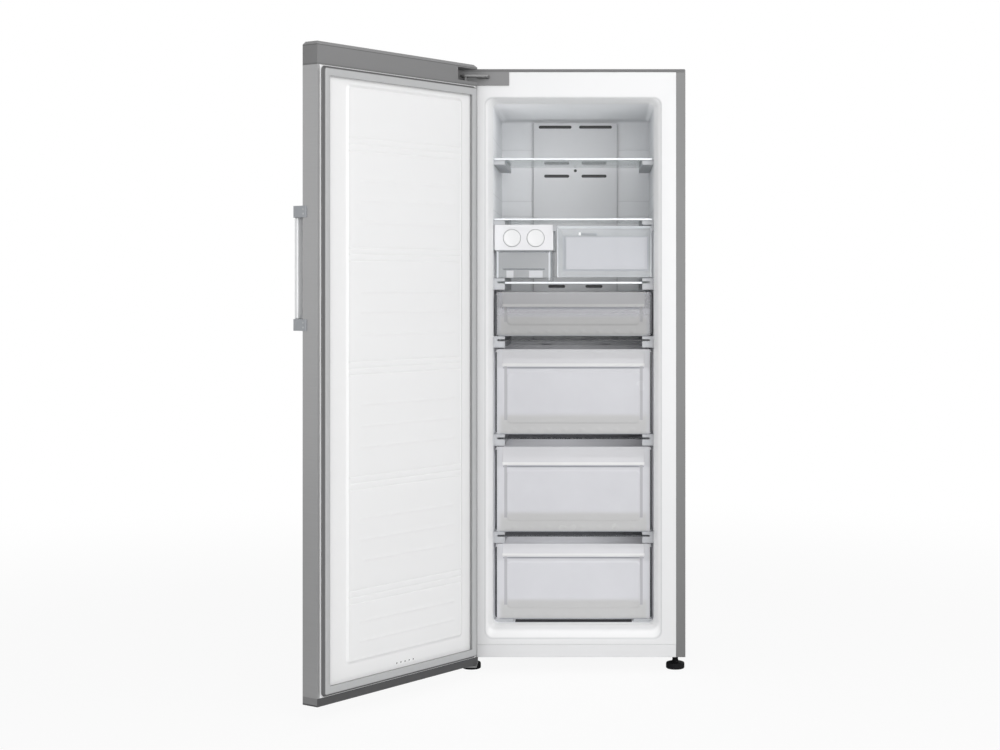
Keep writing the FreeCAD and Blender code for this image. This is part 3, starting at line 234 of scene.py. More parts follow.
def shade(colour, factor):
    # a lighter or darker tone of a colour, never past white
    return tuple(min(1.0, channel * factor) for channel in colour[:3]) + (1.0,)


def plastic(name, colour, rough, grain=900.0, depth=0.03, coat=0.0, drift=0.03, shine=0.5):
    # moulded plastic: a slow drift of tone, uneven gloss and a fine moulded grain
    finish = Finish(name)
    slow = finish.noise(6.0, 3.0)
    return finish.surface({
        "Base Color": finish.drift(slow, colour, drift),
        "Roughness": finish.gloss(slow, rough, 0.08),
        "Coat Weight": coat,
        "Coat Roughness": 0.12,
        "Specular IOR Level": shine,
        "Normal": finish.bump(finish.noise(grain, 2.0), depth, 0.0004),
    })


def metal(name, colour, rough, metallic, stretch, scale=500.0, depth=0.06):
    # drawn or brushed metal: long fine streaks in tone, gloss and height
    finish = Finish(name)
    streak = finish.noise(scale, 3.0, stretch)
    cloud = finish.noise(5.0, 2.0)
    return finish.surface({
        "Base Color": finish.drift(streak * 0.6 + cloud * 0.4, colour, 0.1),
        "Metallic": metallic,
        "Roughness": finish.gloss(streak, rough, 0.16),
        "Normal": finish.bump(streak, depth, 0.0003),
    })


def zincPlate(name, colour, rough):
    # galvanised sheet: spangles of slightly different tone and gloss
    finish = Finish(name)
    spangle = finish.node(
        "ShaderNodeSeparateColor", {}, {0: finish.cells(160.0, "Color")}, "Red")
    return finish.surface({
        "Base Color": finish.mix(spangle, shade(colour, 0.86), shade(colour, 1.1)),
        "Metallic": 0.85,
        "Roughness": finish.gloss(spangle, rough, 0.14),
        "Normal": finish.bump(finish.noise(300.0, 2.0), 0.05, 0.0003),
    })


def paintedSteel(name, colour, rough):
    # enamel on sheet steel: orange-peel surface and faint handling haze
    finish = Finish(name)
    peel = finish.noise(700.0, 1.0)
    haze = finish.noise(9.0, 4.0)
    return finish.surface({
        "Base Color": finish.drift(haze, colour, 0.03),
        "Metallic": 0.25,
        "Roughness": finish.gloss(haze, rough, 0.14),
        "Normal": finish.bump(peel, 0.08, 0.0004),
    })


def rubber(name, colour, rough):
    # soft rubber: matt, with a faint powdery bloom
    finish = Finish(name)
    bloom = finish.noise(60.0, 4.0)
    return finish.surface({
        "Base Color": finish.mix(bloom, shade(colour, 0.94), shade(colour, 1.05)),
        "Roughness": bloom * 0.15 + (rough - 0.08),
        "Normal": finish.bump(finish.noise(1200.0, 2.0), 0.08, 0.0003),
    })


# near black: painted shade inside the duct's slots and behind the air duct
slotShade = (0.012, 0.012, 0.014, 1.0)


def ductMoulding(name, node, colour, rough, wall):
    # moulded cover with painted shade on its inner faces and along its side seams
    finish = Finish(name)
    low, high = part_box(node)
    slow = finish.noise(6.0, 3.0)
    # painted shade: the inner faces, seen through the slots, go near black
    inside = finish.axis("Y").smooth(low.y + wall * 0.35, low.y + wall * 1.02)
    offCentre = (finish.axis("X") - (low.x + high.x) / 2).absolute()
    # painted shade along both side seams
    seamShade = offCentre.smooth((high.x - low.x) / 2 - 0.0022, (high.x - low.x) / 2 - 0.0014, 0.0, 0.45)
    body = finish.drift(slow, colour, 0.015)
    lined = finish.mix(seamShade, body, (0.12, 0.125, 0.135, 1.0))
    return finish.surface({
        "Base Color": finish.mix(inside, lined, slotShade),
        "Roughness": finish.gloss(slow, rough, 0.08),
        "Normal": finish.bump(finish.noise(500.0, 2.0), 0.02, 0.0003),
    })


tubTones = {
    # metres: level lines, and where the walls start behind the front
    "lineHalf": 0.0011, "lineSoft": 0.001, "lineDepth": 0.13, "wallsFrom": 0.04, "wallsWhole": 0.06,
    # metres: the painted shadow under the lowest drawer; then its darkness, and the mouth painted
    # lighter
    "gapHalf": 0.158, "gapLow": 0.121, "gapHigh": 0.1228, "gapNear": 0.066, "gapFar": 0.104,
    "gapSoft": 0.006, "gapDepth": 0.93, "frontTone": 1.08,
}


def linerMoulding(name, colour, rough, lineHeights, ringed=False, spec=tubTones):
    # vacuum-formed tub: faint level lines on the walls, painted shade behind the air duct, and a
    # painted shadow under the lowest drawer; the ringed one paints shade and light on the mouth by its
    # own attribute
    finish = Finish(name)
    low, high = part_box("duct_cover")
    front = shellLow.y
    slow = finish.noise(3.0, 3.0)
    # painted shade: the tub behind the air duct, seen through its slots, goes near black
    deep = finish.axis("Y").smooth(high.y - 0.0012, high.y - 0.0006)
    behindDuctShade = deep * finish.band("X", low.x + 0.003, high.x - 0.003) * finish.band("Z", low.z, high.z)
    inside = finish.axis("Y").smooth(front + spec["wallsFrom"], front + spec["wallsWhole"])
    lines = inside * sum(
        finish.line("Z", height, spec["lineHalf"], spec["lineSoft"]) for height in lineHeights)
    if ringed:
        # painted shade where the attribute is high, a painted lighter tone where it is low
        ring = finish.node("ShaderNodeAttribute", {"attribute_name": "mouthShade"}, {}, "Fac")
        lined = finish.mix(ring, shade(colour, spec["frontTone"]), (0.36, 0.365, 0.38, 1.0))
    else:
        cooler = shade((colour[0] * 0.985, colour[1] * 0.993, colour[2] * 1.01), 1.0)
        walls = finish.mix(inside, finish.drift(slow, colour, 0.007), cooler)
        lined = finish.mix(lines * spec["lineDepth"], walls, (0.3, 0.31, 0.33, 1.0))
    # painted shadow on the floor under the lowest drawer's front
    gap = finish.line("X", (low.x + high.x) / 2, spec["gapHalf"])
    gap = gap * finish.band("Z", spec["gapLow"], spec["gapHigh"])
    gap = gap * finish.band("Y", front + spec["gapNear"], front + spec["gapFar"], spec["gapSoft"])
    return finish.surface({
        "Base Color": finish.mix(behindDuctShade + gap * spec["gapDepth"], lined, slotShade),
        "Roughness": finish.gloss(slow, rough, 0.06),
        "Normal": finish.bump(1 - lines, 0.35, 0.0006),
    })


def capMoulding(name, node, colour, rough, lipHeight):
    # painted cap: a painted highlight near its top edge, painted shade in a fine seam under it and at
    # its foot
    finish = Finish(name)
    low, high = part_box(node)
    grain = finish.noise(1500.0, 2.0)
    slow = finish.noise(6.0, 3.0)
    # painted highlight on the top strip, painted shade in the seam and at the foot
    top = finish.axis("Z").smooth(high.z - lipHeight, high.z - lipHeight + 0.0008)
    seamShade = finish.line("Z", high.z - lipHeight, 0.0006, 0.0008)
    foot = finish.axis("Z").smooth(low.z + 0.0035, low.z + 0.005, 0.3, 0.0)
    body = finish.drift(slow, colour, 0.03)
    lighter = finish.mix(top * 0.4, body, shade(colour, 1.6))
    return finish.surface({
        "Base Color": finish.mix(seamShade * 0.7 + foot, lighter, shade(colour, 0.35)),
        "Roughness": finish.gloss(slow, rough, 0.08),
        "Normal": finish.bump(grain, 0.08, 0.0003),
    })


def lowerCapMoulding(name, colour, innerColour, rough):
    # painted like the door's skin outside, dark on the side that faces the cabinet and at its foot
    finish = Finish(name)
    low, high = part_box("door_bottom_cap")
    near, far = shutDoorBox("door_bottom_cap")
    inward = onDoor((0.0, far[1], 0.0)) - onDoor((0.0, near[1], 0.0))
    inward = inward / np.linalg.norm(inward)
    level = float(np.dot(onDoor((0.0, far[1], 0.0)), inward))
    depth = finish.axis("X") * inward[0] + finish.axis("Y") * inward[1]
    inner = depth.smooth(level - 0.0012, level - 0.0004)
    foot = finish.axis("Z").smooth(low.z + 0.003, low.z + 0.0045, 1.0, 0.0)
    streak = finish.noise(500.0, 3.0, (0.03, 0.03, 1.0))
    body = finish.drift(streak, colour, 0.08)
    return finish.surface({
        "Base Color": finish.mix(finish.math("MAXIMUM", inner, foot), body, innerColour + (1.0,)),
        "Metallic": 0.3,
        "Roughness": finish.gloss(streak, rough, 0.1),
        "Normal": finish.bump(streak, 0.05, 0.0003),
    })


def foamBody(name, colour):
    # poured foam: small closed cells and darker patches
    finish = Finish(name)
    cell = finish.cells(420.0)
    patch = finish.noise(14.0, 4.0)
    return finish.surface({
        "Base Color": finish.mix(patch, shade(colour, 0.84), shade(colour, 1.0)),
        "Roughness": 0.9,
        "Normal": finish.bump(cell, 0.4, 0.0008),
    })


def clearMoulding(name, colour, rough, body, haze):
    # clear styrene: see-through body that clouds a little, and edges that catch the light
    finish = Finish(name)
    cloud = finish.noise(7.0, 3.0)
    return finish.surface({
        "Base Color": finish.mix(cloud, shade(colour, 0.96), shade(colour, 1.03)),
        "Roughness": finish.gloss(cloud, rough, 0.08),
        "Alpha": finish.clouded(cloud, body, haze),
        "Normal": finish.bump(finish.noise(60.0, 2.0), 0.03, 0.0008),
    })


def markedMoulding(name, node, colour, rough, body, marks, depth=0.016):
    # clear plastic with moulded lines and panes, painted shade and painted highlights on its front; a
    # mark gives left, right, bottom and top in millimetres from the node's lower left corner
    # (negative: from the far edge), then a colour and an opacity
    finish = Finish(name)
    low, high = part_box(node)
    cloud = finish.noise(7.0, 3.0)
    front = finish.axis("Y").smooth(low.y + depth, low.y + depth + 0.001, 1.0, 0.0)
    colourNow = finish.drift(cloud, colour, 0.03)
    opacity = finish.clouded(cloud, body, 0.06)
    for left, right, bottom, top, markColour, markBody, soft in marks:
        x0, x1 = [(high.x if v < 0 else low.x) + v * mm for v in (left, right)]
        z0, z1 = [(high.z if v < 0 else low.z) + v * mm for v in (bottom, top)]
        mask = finish.band("X", x0, x1, soft * mm) * finish.band("Z", z0, z1, soft * mm) * front
        colourNow = finish.mix(mask, colourNow, tuple(markColour) + (1.0,))
        opacity = opacity + (markBody - opacity) * mask
    return finish.surface({
        "Base Color": colourNow,
        "Roughness": finish.gloss(cloud, rough, 0.08),
        "Alpha": opacity,
        "Normal": finish.bump(finish.noise(60.0, 2.0), 0.008, 0.0008),
    })


def ringedMoulding(name, colour, rough, ringed, inner, outer):
    # white moulding with painted shade in a groove round each of the given nodes
    finish = Finish(name)
    slow = finish.noise(6.0, 3.0)
    groove = 0.0
    for node in ringed:
        low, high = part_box(node)
        across = finish.axis("X") - (low.x + high.x) / 2
        up = finish.axis("Z") - (low.z + high.z) / 2
        reach = finish.math("SQRT", across * across + up * up)
        groove = (reach - (inner + outer) / 2).absolute().smooth(
            (outer - inner) / 2, (outer - inner) / 2 + 0.0005, 1.0, 0.0) + groove
    body = finish.drift(slow, colour, 0.008)
    return finish.surface({
        "Base Color": finish.mix(groove * 0.75, body, (0.34, 0.345, 0.36, 1.0)),
        "Roughness": finish.gloss(slow, rough, 0.08),
        "Normal": finish.bump(1 - groove, 0.4, 0.0008),
    })


def glassPane(name, colour, body):
    # flat glass: faint green body, brighter at a slant
    finish = Finish(name)
    edge = finish.node("ShaderNodeLayerWeight", {}, {"Blend": 0.25}, "Fresnel")
    wash = finish.noise(5.0, 2.0)
    return finish.surface({
        "Base Color": finish.mix(wash, shade(colour, 0.97), shade(colour, 1.02)),
        "Roughness": wash * 0.04 + 0.03,
        "Alpha": edge * 0.7 + body,
    })


finishes = {
    "grey_steel": paintedSteel("greyPaintedSteel", (0.17, 0.17, 0.17), 0.42),
    "door_steel": metal("brushedDoorSteel", (0.4, 0.4, 0.403), 0.36, 0.75, (0.03, 0.03, 1.0)),
    "zinc_steel": zincPlate("zincPlatedSteel", (0.52, 0.53, 0.54), 0.42),
    "white_plastic": plastic("whiteMoulding", (0.79, 0.793, 0.8), 0.3, coat=0.15, drift=0.008),
    "liner_white": plastic("linerMoulding", (0.86, 0.862, 0.865), 0.3, 500.0, 0.015, 0.1, 0.008),
    "dark_plastic": plastic("capMoulding", (0.2, 0.2, 0.203), 0.5, 1500.0, 0.16),
    "mid_plastic": plastic("coverMoulding", (0.23, 0.23, 0.233), 0.48, 1500.0, 0.1),
    "black_plastic": plastic(
        "blackMoulding", (0.01, 0.01, 0.011), 0.6, 1300.0, 0.14, drift=0.1, shine=0.12),
    "clear_plastic": clearMoulding("clearDrawerMoulding", (0.78, 0.785, 0.805), 0.25, 0.52, 0.1),
    "shelf_glass": glassPane("shelfGlass", (0.72, 0.79, 0.79), 0.16),
    "bright_trim": metal("shelfEdgeTrim", (0.62, 0.64, 0.66), 0.3, 0.3, (0.03, 1.0, 1.0)),
    "seal_rubber": rubber("plainSealRubber", (0.5, 0.505, 0.51), 0.6),
    "black_rubber": rubber("mountRubber", (0.03, 0.03, 0.03), 0.75),
    "fin_aluminium": metal("finAluminium", (0.72, 0.73, 0.74), 0.35, 0.9, (1.0, 1.0, 0.05)),
    "black_enamel": paintedSteel("blackEnamel", (0.02, 0.02, 0.022), 0.3),
    "foam": foamBody("insulationFoam", (0.8, 0.7, 0.45)),
    "ice_plastic": plastic("iceTrayMoulding", (0.68, 0.74, 0.8), 0.3, 700.0, 0.05),
}
# painted shade: near black for the gaps beside the drawers, grey for lines under finger lips and at
# the foot
gapShade = (0.015, 0.018, 0.026)
lineShade = (0.3, 0.31, 0.34)


def drawerMarks(lipDrop, tone):
    # painted gap shade at the sides and foot, side columns, a painted highlight and shadow at the
    # finger lip
    # a painted highlight just over the finger lip
    lipHighlight = (tone * 1.12,) * 3
    column = (tone * 0.78, tone * 0.78, tone * 0.81)
    low = (tone * 1.04, tone * 1.04, tone * 1.07)
    return (
        (21.0, -21.0, 3.0, 44.0, (tone * 0.86,) * 3, 0.62, 16.0),
        (20.0, -20.0, -lipDrop + 9.0, -2.0, low, 0.5, 3.0),
        (20.0, -20.0, -lipDrop + 2.0, -lipDrop + 8.0, lipHighlight, 0.6, 1.5),
        (22.0, -22.0, -lipDrop - 5.0, -lipDrop - 0.5, lineShade, 0.8, 0.8),
        (26.0, 31.0, 40.0, -lipDrop, column, 0.5, 3.0),
        (-31.0, -26.0, 40.0, -lipDrop, column, 0.5, 3.0),
        (12.0, -12.0, 0.0, 1.6, lineShade, 0.85, 0.6),
        (0.0, 4.4, 5.0, -8.0, gapShade, 0.98, 0.6), (-4.4, -0.001, 5.0, -8.0, gapShade, 0.98, 0.6),
    )


# painted highlights down the flap's side edges
flapEdgeHighlight = (0.84, 0.86, 0.9)
bucketRib = (0.7, 0.72, 0.76)
bucketSeam = (0.2, 0.22, 0.24)
flapMarks = (
    (1.0, 6.0, 1.0, -1.0, flapEdgeHighlight, 0.85, 1.0), (-6.0, -1.0, 1.0, -1.0, flapEdgeHighlight, 0.85, 1.0),
    (2.0, -2.0, -6.0, -1.0, (0.62, 0.65, 0.68), 0.7, 1.0),
    (20.0, -13.0, 17.0, -29.0, (0.42, 0.44, 0.47), 0.6, 1.2),
    (30.0, -17.0, 23.0, -32.0, (0.68, 0.69, 0.73), 0.46, 2.0),
    (68.0, 112.0, -26.0, -19.0, (0.3, 0.32, 0.34), 0.8, 1.0),
    (63.0, 68.0, -25.0, -18.0, (0.8, 0.8, 0.82), 0.9, 1.0),
)
bucketMarks = (
    (0.5, 2.6, 1.0, -1.0, bucketSeam, 0.8, 0.8), (-2.6, -0.5, 1.0, -1.0, bucketSeam, 0.8, 0.8),
    (4.0, 7.5, 4.0, -3.0, bucketRib, 0.75, 1.0), (-9.0, -6.0, 4.0, -3.0, bucketRib, 0.75, 1.0),
    (20.0, -20.0, 32.0, 35.0, bucketSeam, 0.6, 1.2), (8.0, -8.0, -4.5, -1.5, bucketSeam, 0.6, 1.0),
    (30.0, 48.0, 5.0, 29.0, (0.7, 0.71, 0.73), 0.6, 1.0),
    (91.0, 127.0, 5.0, 29.0, (0.7, 0.71, 0.74), 0.6, 1.0),
)

extraFinishes = {
    "inner_liner": linerMoulding(
        "tubMoulding", (0.9, 0.902, 0.906), 0.3, (1.433, 1.382, 1.282, 1.238, 1.196)),
    "door_top_cap": capMoulding("topCapMoulding", "door_top_cap", (0.215, 0.215, 0.217), 0.5, 0.009),
    "door_bottom_cap": lowerCapMoulding(
        "lowerCapMoulding", (0.25, 0.25, 0.253), (0.085, 0.085, 0.087), 0.42),
    "top_front_trim": plastic("frontStripMoulding", (0.155, 0.155, 0.157), 0.5, 1500.0, 0.08),
    "handle_bar": metal("handleBarMetal", (0.92, 0.94, 0.96), 0.42, 0.15, (1.0, 1.0, 0.03)),
    "handle_brackets": metal("handleEndMetal", (0.36, 0.375, 0.395), 0.4, 0.4, (1.0, 1.0, 0.03)),
    # the glass between the drawers is dark grey and less clear: painted shade of the gaps between them
    "glass_shelf_4": glassPane("upperDrawerGlass", (0.16, 0.165, 0.175), 0.3),
    "glass_shelf_5": glassPane("middleDrawerGlass", (0.13, 0.135, 0.15), 0.3),
    "glass_shelf_6": glassPane("lowerDrawerGlass", (0.2, 0.205, 0.22), 0.3),
    "top_hinge": paintedSteel("hingeArmPaint", (0.2, 0.2, 0.2), 0.45),
    "bottom_hinge": paintedSteel("hingePlatePaint", (0.2, 0.2, 0.2), 0.45),
    "flap_brackets": plastic("bracketMoulding", (0.4, 0.41, 0.43), 0.4, 900.0, 0.02),
    "ice_maker_housing": ringedMoulding(
        "iceCaseMoulding", (0.77, 0.77, 0.79), 0.34, ("ice_knob_left", "ice_knob_right"),
        0.0224, 0.0242),
    "ice_bucket": markedMoulding(
        "bucketMoulding", "ice_bucket", (0.5, 0.515, 0.53), 0.16, 0.42, bucketMarks),
    "flap_panel": markedMoulding(
        "flapMoulding", "flap_panel", (0.6, 0.625, 0.645), 0.16, 0.38, flapMarks),
    "shelf_supports": plastic("railMoulding", (0.5, 0.51, 0.53), 0.4, 900.0, 0.02),
    # the duct and back covers are painted greyer than the tub's white: painted shade at the back of
    # the cold space
    "duct_cover": ductMoulding("ductMoulding", "duct_cover", (0.8, 0.803, 0.82), 0.4, 0.0025),
    "evaporator_cover": ductMoulding(
        "coverPanelMoulding", "evaporator_cover", (0.62, 0.625, 0.645), 0.4, 0.0025),
}
# the four drawers are one clear plastic, painted darker the higher they sit: painted shade
# node, name, colour, roughness, body, drop of the finger lip, tone of the marks
drawerTones = (
    ("drawer_1", "topDrawerMoulding", (0.5, 0.502, 0.53), 0.22, 0.4, 41.0, 0.48),
    ("drawer_2", "secondDrawerMoulding", (0.66, 0.662, 0.69), 0.26, 0.54, 47.0, 0.64),
    ("drawer_3", "thirdDrawerMoulding", (0.7, 0.702, 0.73), 0.26, 0.54, 50.0, 0.68),
    ("drawer_4", "lowestDrawerMoulding", (0.74, 0.742, 0.77), 0.26, 0.54, 34.0, 0.72),
)
for node, name, colour, rough, body, lipDrop, tone in drawerTones:
    extraFinishes[node] = markedMoulding(name, node, colour, rough, body, drawerMarks(lipDrop, tone))
print("finishes made:", len(finishes) + len(extraFinishes))


easing = {"segments": 3, "fromAngle": 30, "mergeWithin": 0.00001, "flatWithin": 0.4}


def makePiece(name, vertices, faces, finish, body, replaced=(), bevel=0.0, smoothAngle=35.0):
    # a new mesh from points in metres and its faces
    mesh = bpy.data.meshes.new(name)
    mesh.from_pydata(np.asarray(vertices).reshape(-1, 3).tolist(), [], faces)
    mesh.update()
    piece = bpy.data.objects.new(name, mesh)
    bpy.context.scene.collection.objects.link(piece)
    return dress(piece, finish, body, replaced, bevel, smoothAngle)


def dress(piece, finish, body, replaced=(), bevel=0.0, smoothAngle=35.0):
    # finish, rounded edges and shading, then the body it rides on; the nodes it replaces are hidden
    piece.data.materials.clear()
    piece.data.materials.append(finish)
    if bevel:
        ease = piece.modifiers.new("ease", "BEVEL")
        ease.width = bevel * mm
        ease.segments = easing["segments"]
        ease.limit_method = "ANGLE"
        ease.angle_limit = math.radians(easing["fromAngle"])
    piece.data.polygons.foreach_set("use_smooth", np.ones(len(piece.data.polygons), bool))
    piece.data.set_sharp_from_angle(angle=math.radians(smoothAngle))
    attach(piece, body)
    if replaced:
        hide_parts(*replaced)
    return piece


def easedCopy(node, width):
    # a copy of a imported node, its triangles joined to whole faces and its edges rounded
    mesh = nodes[node].data.copy()
    work = bmesh.new()
    work.from_mesh(mesh)
    bmesh.ops.remove_doubles(work, verts=work.verts, dist=easing["mergeWithin"])
    bmesh.ops.dissolve_limit(
        work, angle_limit=math.radians(easing["flatWithin"]), verts=work.verts, edges=work.edges)
    work.to_mesh(mesh)
    work.free()
    piece = bpy.data.objects.new(node + "_eased", mesh)
    bpy.context.scene.collection.objects.link(piece)
    slot = slotOf[node]
    finish = extraFinishes.get(node) or finishes[slot]
    return dress(piece, finish, nodes[node]["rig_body"], (node,), width)


def gridFaces(rows, columns, closedRows=False, closedColumns=False, start=0):
    # quads of a grid of points stored row by row
    rowCount = rows if closedRows else rows - 1
    columnCount = columns if closedColumns else columns - 1
    r, c = np.meshgrid(np.arange(rowCount), np.arange(columnCount), indexing="ij")
    rNext, cNext = (r + 1) % rows, (c + 1) % columns
    quads = np.stack([
        r * columns + c, r * columns + cNext, rNext * columns + cNext, rNext * columns + c,
    ], axis=-1).reshape(-1, 4) + start
    return quads.tolist()


def roundedRing(half, bottom, top, radius, y, corner=7, side=6):
    # points of an upright rounded rectangle at depth y: straight runs joined by quarter circles
    radius = max(radius, 0.5)
    points = []
    centres = (
        (half - radius, bottom + radius, -90), (half - radius, top - radius, 0),
        (-half + radius, top - radius, 90), (-half + radius, bottom + radius, 180),
    )
    arcs = []
    for x, z, start in centres:
        angle = np.radians(start + np.linspace(0, 90, corner))
        arcs.append(np.stack([x + radius * np.cos(angle), z + radius * np.sin(angle)], axis=-1))
    for index, arc in enumerate(arcs):
        following = arcs[(index + 1) % 4][0]
        share = np.linspace(0, 1, side + 1)[1:-1, None]
        run = arc[-1] + (following - arc[-1]) * share
        points.append(np.concatenate([arc, run]))
    flat = np.concatenate(points)
    return np.stack([flat[:, 0], np.full(len(flat), float(y)), flat[:, 1]], axis=-1)


def closedFaces(rings, steps):
    # quads round a turned piece, with a flat face over its first and last ring
    last = (rings - 1) * steps
    ends = [list(range(steps))[::-1], list(range(last, last + steps))]
    return gridFaces(rings, steps, False, True) + ends


def closedLathe(profile, steps, centre, axis):
    # a profile of (radius, height) pairs turned once round an axis through the centre
    angle = np.linspace(0, 2 * np.pi, steps, endpoint=False)
    radius, height = np.asarray(profile, float).T[:, :, None]
    u, v = radius * np.cos(angle), radius * np.sin(angle)
    w = np.broadcast_to(height, u.shape)
    points = np.stack({"y": (u, w, -v), "x": (w, u, v)}[axis], axis=-1)
    return points + np.asarray(centre, float), closedFaces(len(profile), steps)


def remake(node, suffix, points, faces, smoothAngle):
    # a new piece, given in cabinet millimetres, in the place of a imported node
    slot = slotOf[node]
    return outward(makePiece(
        node + suffix, inCabinet(points), faces, finishes[slot], nodes[node]["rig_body"],
        (node,), smoothAngle=smoothAngle))


def outward(piece):
    # every face of a closed piece turned to point out
    work = bmesh.new()
    work.from_mesh(piece.data)
    bmesh.ops.recalc_face_normals(work, faces=work.faces)
    work.to_mesh(piece.data)
    work.free()
    return piece


def smoothStep(value):
    # three times the square less twice the cube, with the value held between 0 and 1
    clipped = np.clip(value, 0.0, 1.0)
    return clipped * clipped * (3 - 2 * clipped)


def rimOfGrid(rows, columns, start=0):
    # the numbers of the points along the bottom, top, left and right of a grid
    numbers = np.arange(rows * columns).reshape(rows, columns) + start
    return [line.tolist() for line in (numbers[0], numbers[-1], numbers[:, 0], numbers[:, -1])]


def closedSheet(front, back):
    # two grids over the same outline, joined by one flat face along each side
    start = front.shape[0] * front.shape[1]
    faces = gridFaces(*front.shape[:2])
    faces += [quad[::-1] for quad in gridFaces(*back.shape[:2], start=start)]
    foot, head, left, right = rimOfGrid(*front.shape[:2])
    backFoot, backHead, backLeft, backRight = rimOfGrid(*back.shape[:2], start)
    faces += [foot[::-1] + backFoot, head + backHead[::-1]]
    faces += [left + backLeft[::-1], right[::-1] + backRight]
    points = np.concatenate([front.reshape(-1, 3), back.reshape(-1, 3)])
    return points, faces


# door: inner panel
doorPanel = {
    "fieldHalf": 220.0, "fieldShift": -17.0, "fieldBottom": 113.0, "fieldTop": 1524.0,
    "fieldRadius": 14.0,
    "rise": 4.0, "draft": 8.0, "wall": 2.5, "bead": 0.9, "beadInset": 9.0,
    "beadWidth": 2.5, "stepWidth": 18.0, "grooveFade": 4.0, "ribFade": 12.0,
    "groupHeights": (1378.0, 1110.0, 832.0, 552.0, 275.0), "groovePitch": 16.0,
    "grooveDepth": 1.2, "grooveHalf": 1.9, "grooveEnd": 214.0,
    "ribHeights": (
        1290, 1242, 1188, 1018, 969, 913, 743, 690, 639, 464, 413, 362, 213, 165),
    "ribRise": 1.2, "ribHalf": 3.0, "ribLeft": -206.0, "ribRight": 163.0,
    "holePlaces": (17.0, 1.5, -14.0, -29.5, -45.0), "holeHeight": 87.0, "holeRadius": 2.2,
    "holeDepth": 2.2,
}


def panelHeight(x, z, spec, detail=True):
    # how far the panel stands out: a plateau with eased sides, minus grooves, plus low ribs
    middle = (spec["fieldBottom"] + spec["fieldTop"]) / 2
    halfHigh = (spec["fieldTop"] - spec["fieldBottom"]) / 2
    dx = np.abs(x - spec["fieldShift"]) - (spec["fieldHalf"] - spec["fieldRadius"])
    dz = np.abs(z - middle) - (halfHigh - spec["fieldRadius"])
    outside = np.hypot(np.maximum(dx, 0), np.maximum(dz, 0)) + np.minimum(np.maximum(dx, dz), 0)
    inset = spec["fieldRadius"] - outside
    height = spec["rise"] * smoothStep(inset / spec["draft"])
    if not detail:
        return height
    bead = (inset - spec["beadInset"]) / spec["beadWidth"]
    height = height + spec["bead"] * (np.exp(-bead * bead) - 1) * smoothStep(inset / spec["beadInset"])
    height = height + spec["bead"] * smoothStep(inset / spec["stepWidth"] - 0.5)
    within = smoothStep((spec["grooveEnd"] - np.abs(x - spec["fieldShift"])) / spec["grooveFade"])
    for group in spec["groupHeights"]:
        for step in (-1, 0, 1):
            gap = (z - group - step * spec["groovePitch"]) / spec["grooveHalf"]
            height = height - spec["grooveDepth"] * np.exp(-gap * gap) * within
    fade = spec["ribFade"]
    ends = smoothStep((spec["ribRight"] - x) / fade) * smoothStep((x - spec["ribLeft"]) / fade)
    for rib in spec["ribHeights"]:
        gap = (z - rib) / spec["ribHalf"]
        height = height + spec["ribRise"] * np.exp(-gap * gap) * ends
    for place in spec["holePlaces"]:
        reach = np.hypot(x - place, z - spec["holeHeight"]) / spec["holeRadius"]
        height = height - spec["holeDepth"] * smoothStep(1.6 - 1.2 * reach)
    return height


def buildDoorPanel(spec):
    # the panel's height over a grid that is finer at its edges, grooves, ribs and holes
    low, high = shutDoorBox("door_liner")
    rimDepth = high[1] - spec["rise"]
    left, right = spec["fieldShift"] - spec["fieldHalf"], spec["fieldShift"] + spec["fieldHalf"]
    edge, end = np.linspace(-1, 19, 15), np.linspace(0, spec["ribFade"], 5)
    xs = np.concatenate([
        np.linspace(low[0], high[0], 40), right - edge, left + edge,
        spec["ribRight"] - end, spec["ribLeft"] + end, np.linspace(-50, 22, 73),
    ])
    rows = [
        np.linspace(low[2], high[2], 70), spec["fieldBottom"] + np.linspace(-1, 16, 13),
        spec["fieldTop"] - np.linspace(-1, 16, 13), spec["holeHeight"] + np.linspace(-4, 4, 9),
    ]
    across = np.array([-4.2, -2.4, -1.2, 0, 1.2, 2.4, 4.2])
    for group in spec["groupHeights"]:
        rows += [group + step * spec["groovePitch"] + across for step in (-1, 0, 1)]
    for rib in spec["ribHeights"]:
        rows.append(rib + np.array([-7, -4.2, -2, 0, 2, 4.2, 7]))
    xs = np.unique(np.round(xs, 1))
    zs = np.unique(np.round(np.concatenate(rows), 1))
    xs, zs = xs[(xs >= low[0]) & (xs <= high[0])], zs[(zs >= low[2]) & (zs <= high[2])]
    xs[0], xs[-1], zs[0], zs[-1] = low[0], high[0], low[2], high[2]
    z, x = np.meshgrid(zs, xs, indexing="ij")
    front = np.stack([x, rimDepth + panelHeight(x, z, spec), z], axis=-1)
    rim = np.array([0, 3, 6, 8])
    backX = np.unique(np.concatenate([np.linspace(low[0], high[0], 9), left + rim, right - rim]))
    rim = np.array([0, 3, 6, 14])
    backZ = np.unique(np.concatenate([
        np.linspace(low[2], high[2], 12), spec["fieldBottom"] + rim, spec["fieldTop"] - rim]))
    z, x = np.meshgrid(backZ, backX, indexing="ij")
    back = np.stack([x, rimDepth - spec["wall"] + panelHeight(x, z, spec, False), z], axis=-1)
    points, faces = closedSheet(front, back)
    piece = makePiece(
        "door_inner_panel", onDoor(points), faces, doorPanelFinish, "door",
        ("door_liner",), smoothAngle=50)
    return outward(piece)


